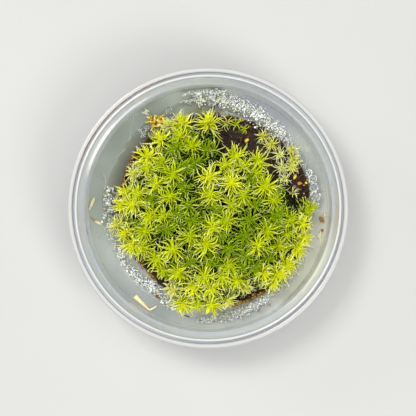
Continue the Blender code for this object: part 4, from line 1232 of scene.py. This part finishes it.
def build_bits():
    """Seed, stick, husks and grit."""
    brown, amber, rust = map(grained_material, ("seed_coat", "amber_grit", "rust_husk"))
    pebble("seed_grain", "seed", (-16.8, -29.6), (0.85, 0.6, 0.5), 0, brown, 0.05, 3)
    loose = (
        ("husk_orange", "orange_husk", (38.2, -3.9), (0.6, 1.0, 0.35), 35, rust, 0.6, 4),
        ("leaf_bit", "yellow_leaf_bit", (12.9, 22.4), (0.45, 0.8, 0.35), -35, amber, 0.70, 5),
        ("grit_1", "grit_yellow", (28.8, 10.4), (0.48, 0.75, 0.4), -20, amber, 0.75, 6),
        ("grit_2", "grit_orange", (30.4, 8.2), (0.6, 0.45, 0.35), 10, rust, 0.75, 7),
    )
    for name, node, place, half, bearing, material, lump, seed in loose:
        pebble(name, node, place, half, bearing, material, lump, seed)
    rest = GEL_TOP / MM + 0.25
    stick = ((-7.9, -35.9, rest), (-7.1, -36.2, rest), (-6.1, -36.5, rest))
    path = smooth_path(stick, 9)[None] * MM
    radii = np.array([[0.12, 0.2, 0.24, 0.22, 0.26, 0.22, 0.24, 0.2, 0.1]]) * MM
    body = tubes(path, radii, 10)
    make_piece("bark_stick", body, grained_material("bark"), ["brown_stick"])


def build_specks():
    """Specks of husk and peat on the floor, the gel and the plug, and stuck to the wall."""
    rng = np.random.default_rng(77)
    x, y, z, half, row = np.array(SPECKS).T
    sizes = half[:, None] * rng.uniform(0.6, 1.2, (len(SPECKS), 3)) * MM
    body = grains(rng, np.stack((x, y, z), axis=-1) * MM, sizes, 0.10, 3)
    uv = ball_uv(rng, body[3], row, len(SPECK_ROWS))
    material = swatch_material("speck", SPECK_ROWS, Roughness=0.6)
    make_piece("specks", body, material, (), uv)


def build_threads():
    """Fine root threads on the dish's floor."""
    floor = DISH_FLOOR / MM + 0.12
    threads = (
        ((-23.8, 31.6), (-25.0, 31.0), (-25.2, 29.6), (-25.9, 26.0), (-26.6, 22.4)),
        ((-31.1, 17.0), (-29.4, 18.2), (-27.6, 20.0)),
        ((-27.2, 20.6), (-27.0, 19.0), (-26.8, 17.4)),
        ((-35.2, 11.6), (-34.4, 9.6), (-34.4, 6.6)),
    )
    paths = np.array([smooth_path([(*point, floor) for point in row], 24) for row in threads])
    paths[..., 0] += np.random.default_rng(5).normal(0.0, 0.05, paths.shape[:2])
    radii = np.full(paths.shape[:2], 0.11 * MM)
    material = grained_material("root_thread")
    make_piece("root_threads", tubes(paths * MM, radii, 6), material)


def build_stage():
    """Plain pale floor, soft studio light, and the camera straight above."""
    scene = bpy.context.scene
    bpy.ops.mesh.primitive_plane_add(size=3.0, location=(0.0, 0.0, -0.05 * MM))
    floor = bpy.context.object
    floor.name = "studio_floor"
    paper = Surface("studio_paper", Roughness=0.9)
    shades = ((0.3, (178, 178, 176)), (0.7, (182, 182, 180)))
    floor.data.materials.append(paper.colour(paper.ramp(paper.noise(0.2), *shades)))
    for name, place, size, power in LIGHTS:
        light = bpy.data.lights.new(name, "AREA")
        light.size = size
        light.energy = power
        lamp = bpy.data.objects.new(name, light)
        lamp.location = place
        lamp.rotation_euler = (-Vector(place)).to_track_quat("-Z", "Y").to_euler()
        scene.collection.objects.link(lamp)
    world = bpy.data.worlds.new("studio")
    world.use_nodes = True
    sky = world.node_tree.nodes["Background"].inputs
    sky["Color"].default_value = (1.0, 1.0, 0.98, 1.0)
    sky["Strength"].default_value = SKY_STRENGTH
    scene.world = world
    camera = bpy.data.cameras.new("camera")
    camera.sensor_width = 36.0
    camera.lens = CAMERA_LENS_MM
    holder = bpy.data.objects.new("camera", camera)
    holder.location = (0.0, 0.0, CAMERA_HEIGHT)
    scene.collection.objects.link(holder)
    scene.camera = holder
    scene.view_settings.view_transform = "Standard"


build_stage()
build_dish()
build_gel()
build_peat()
build_moss()
build_froth()
build_straw()
build_bits()
build_threads()
build_specks()
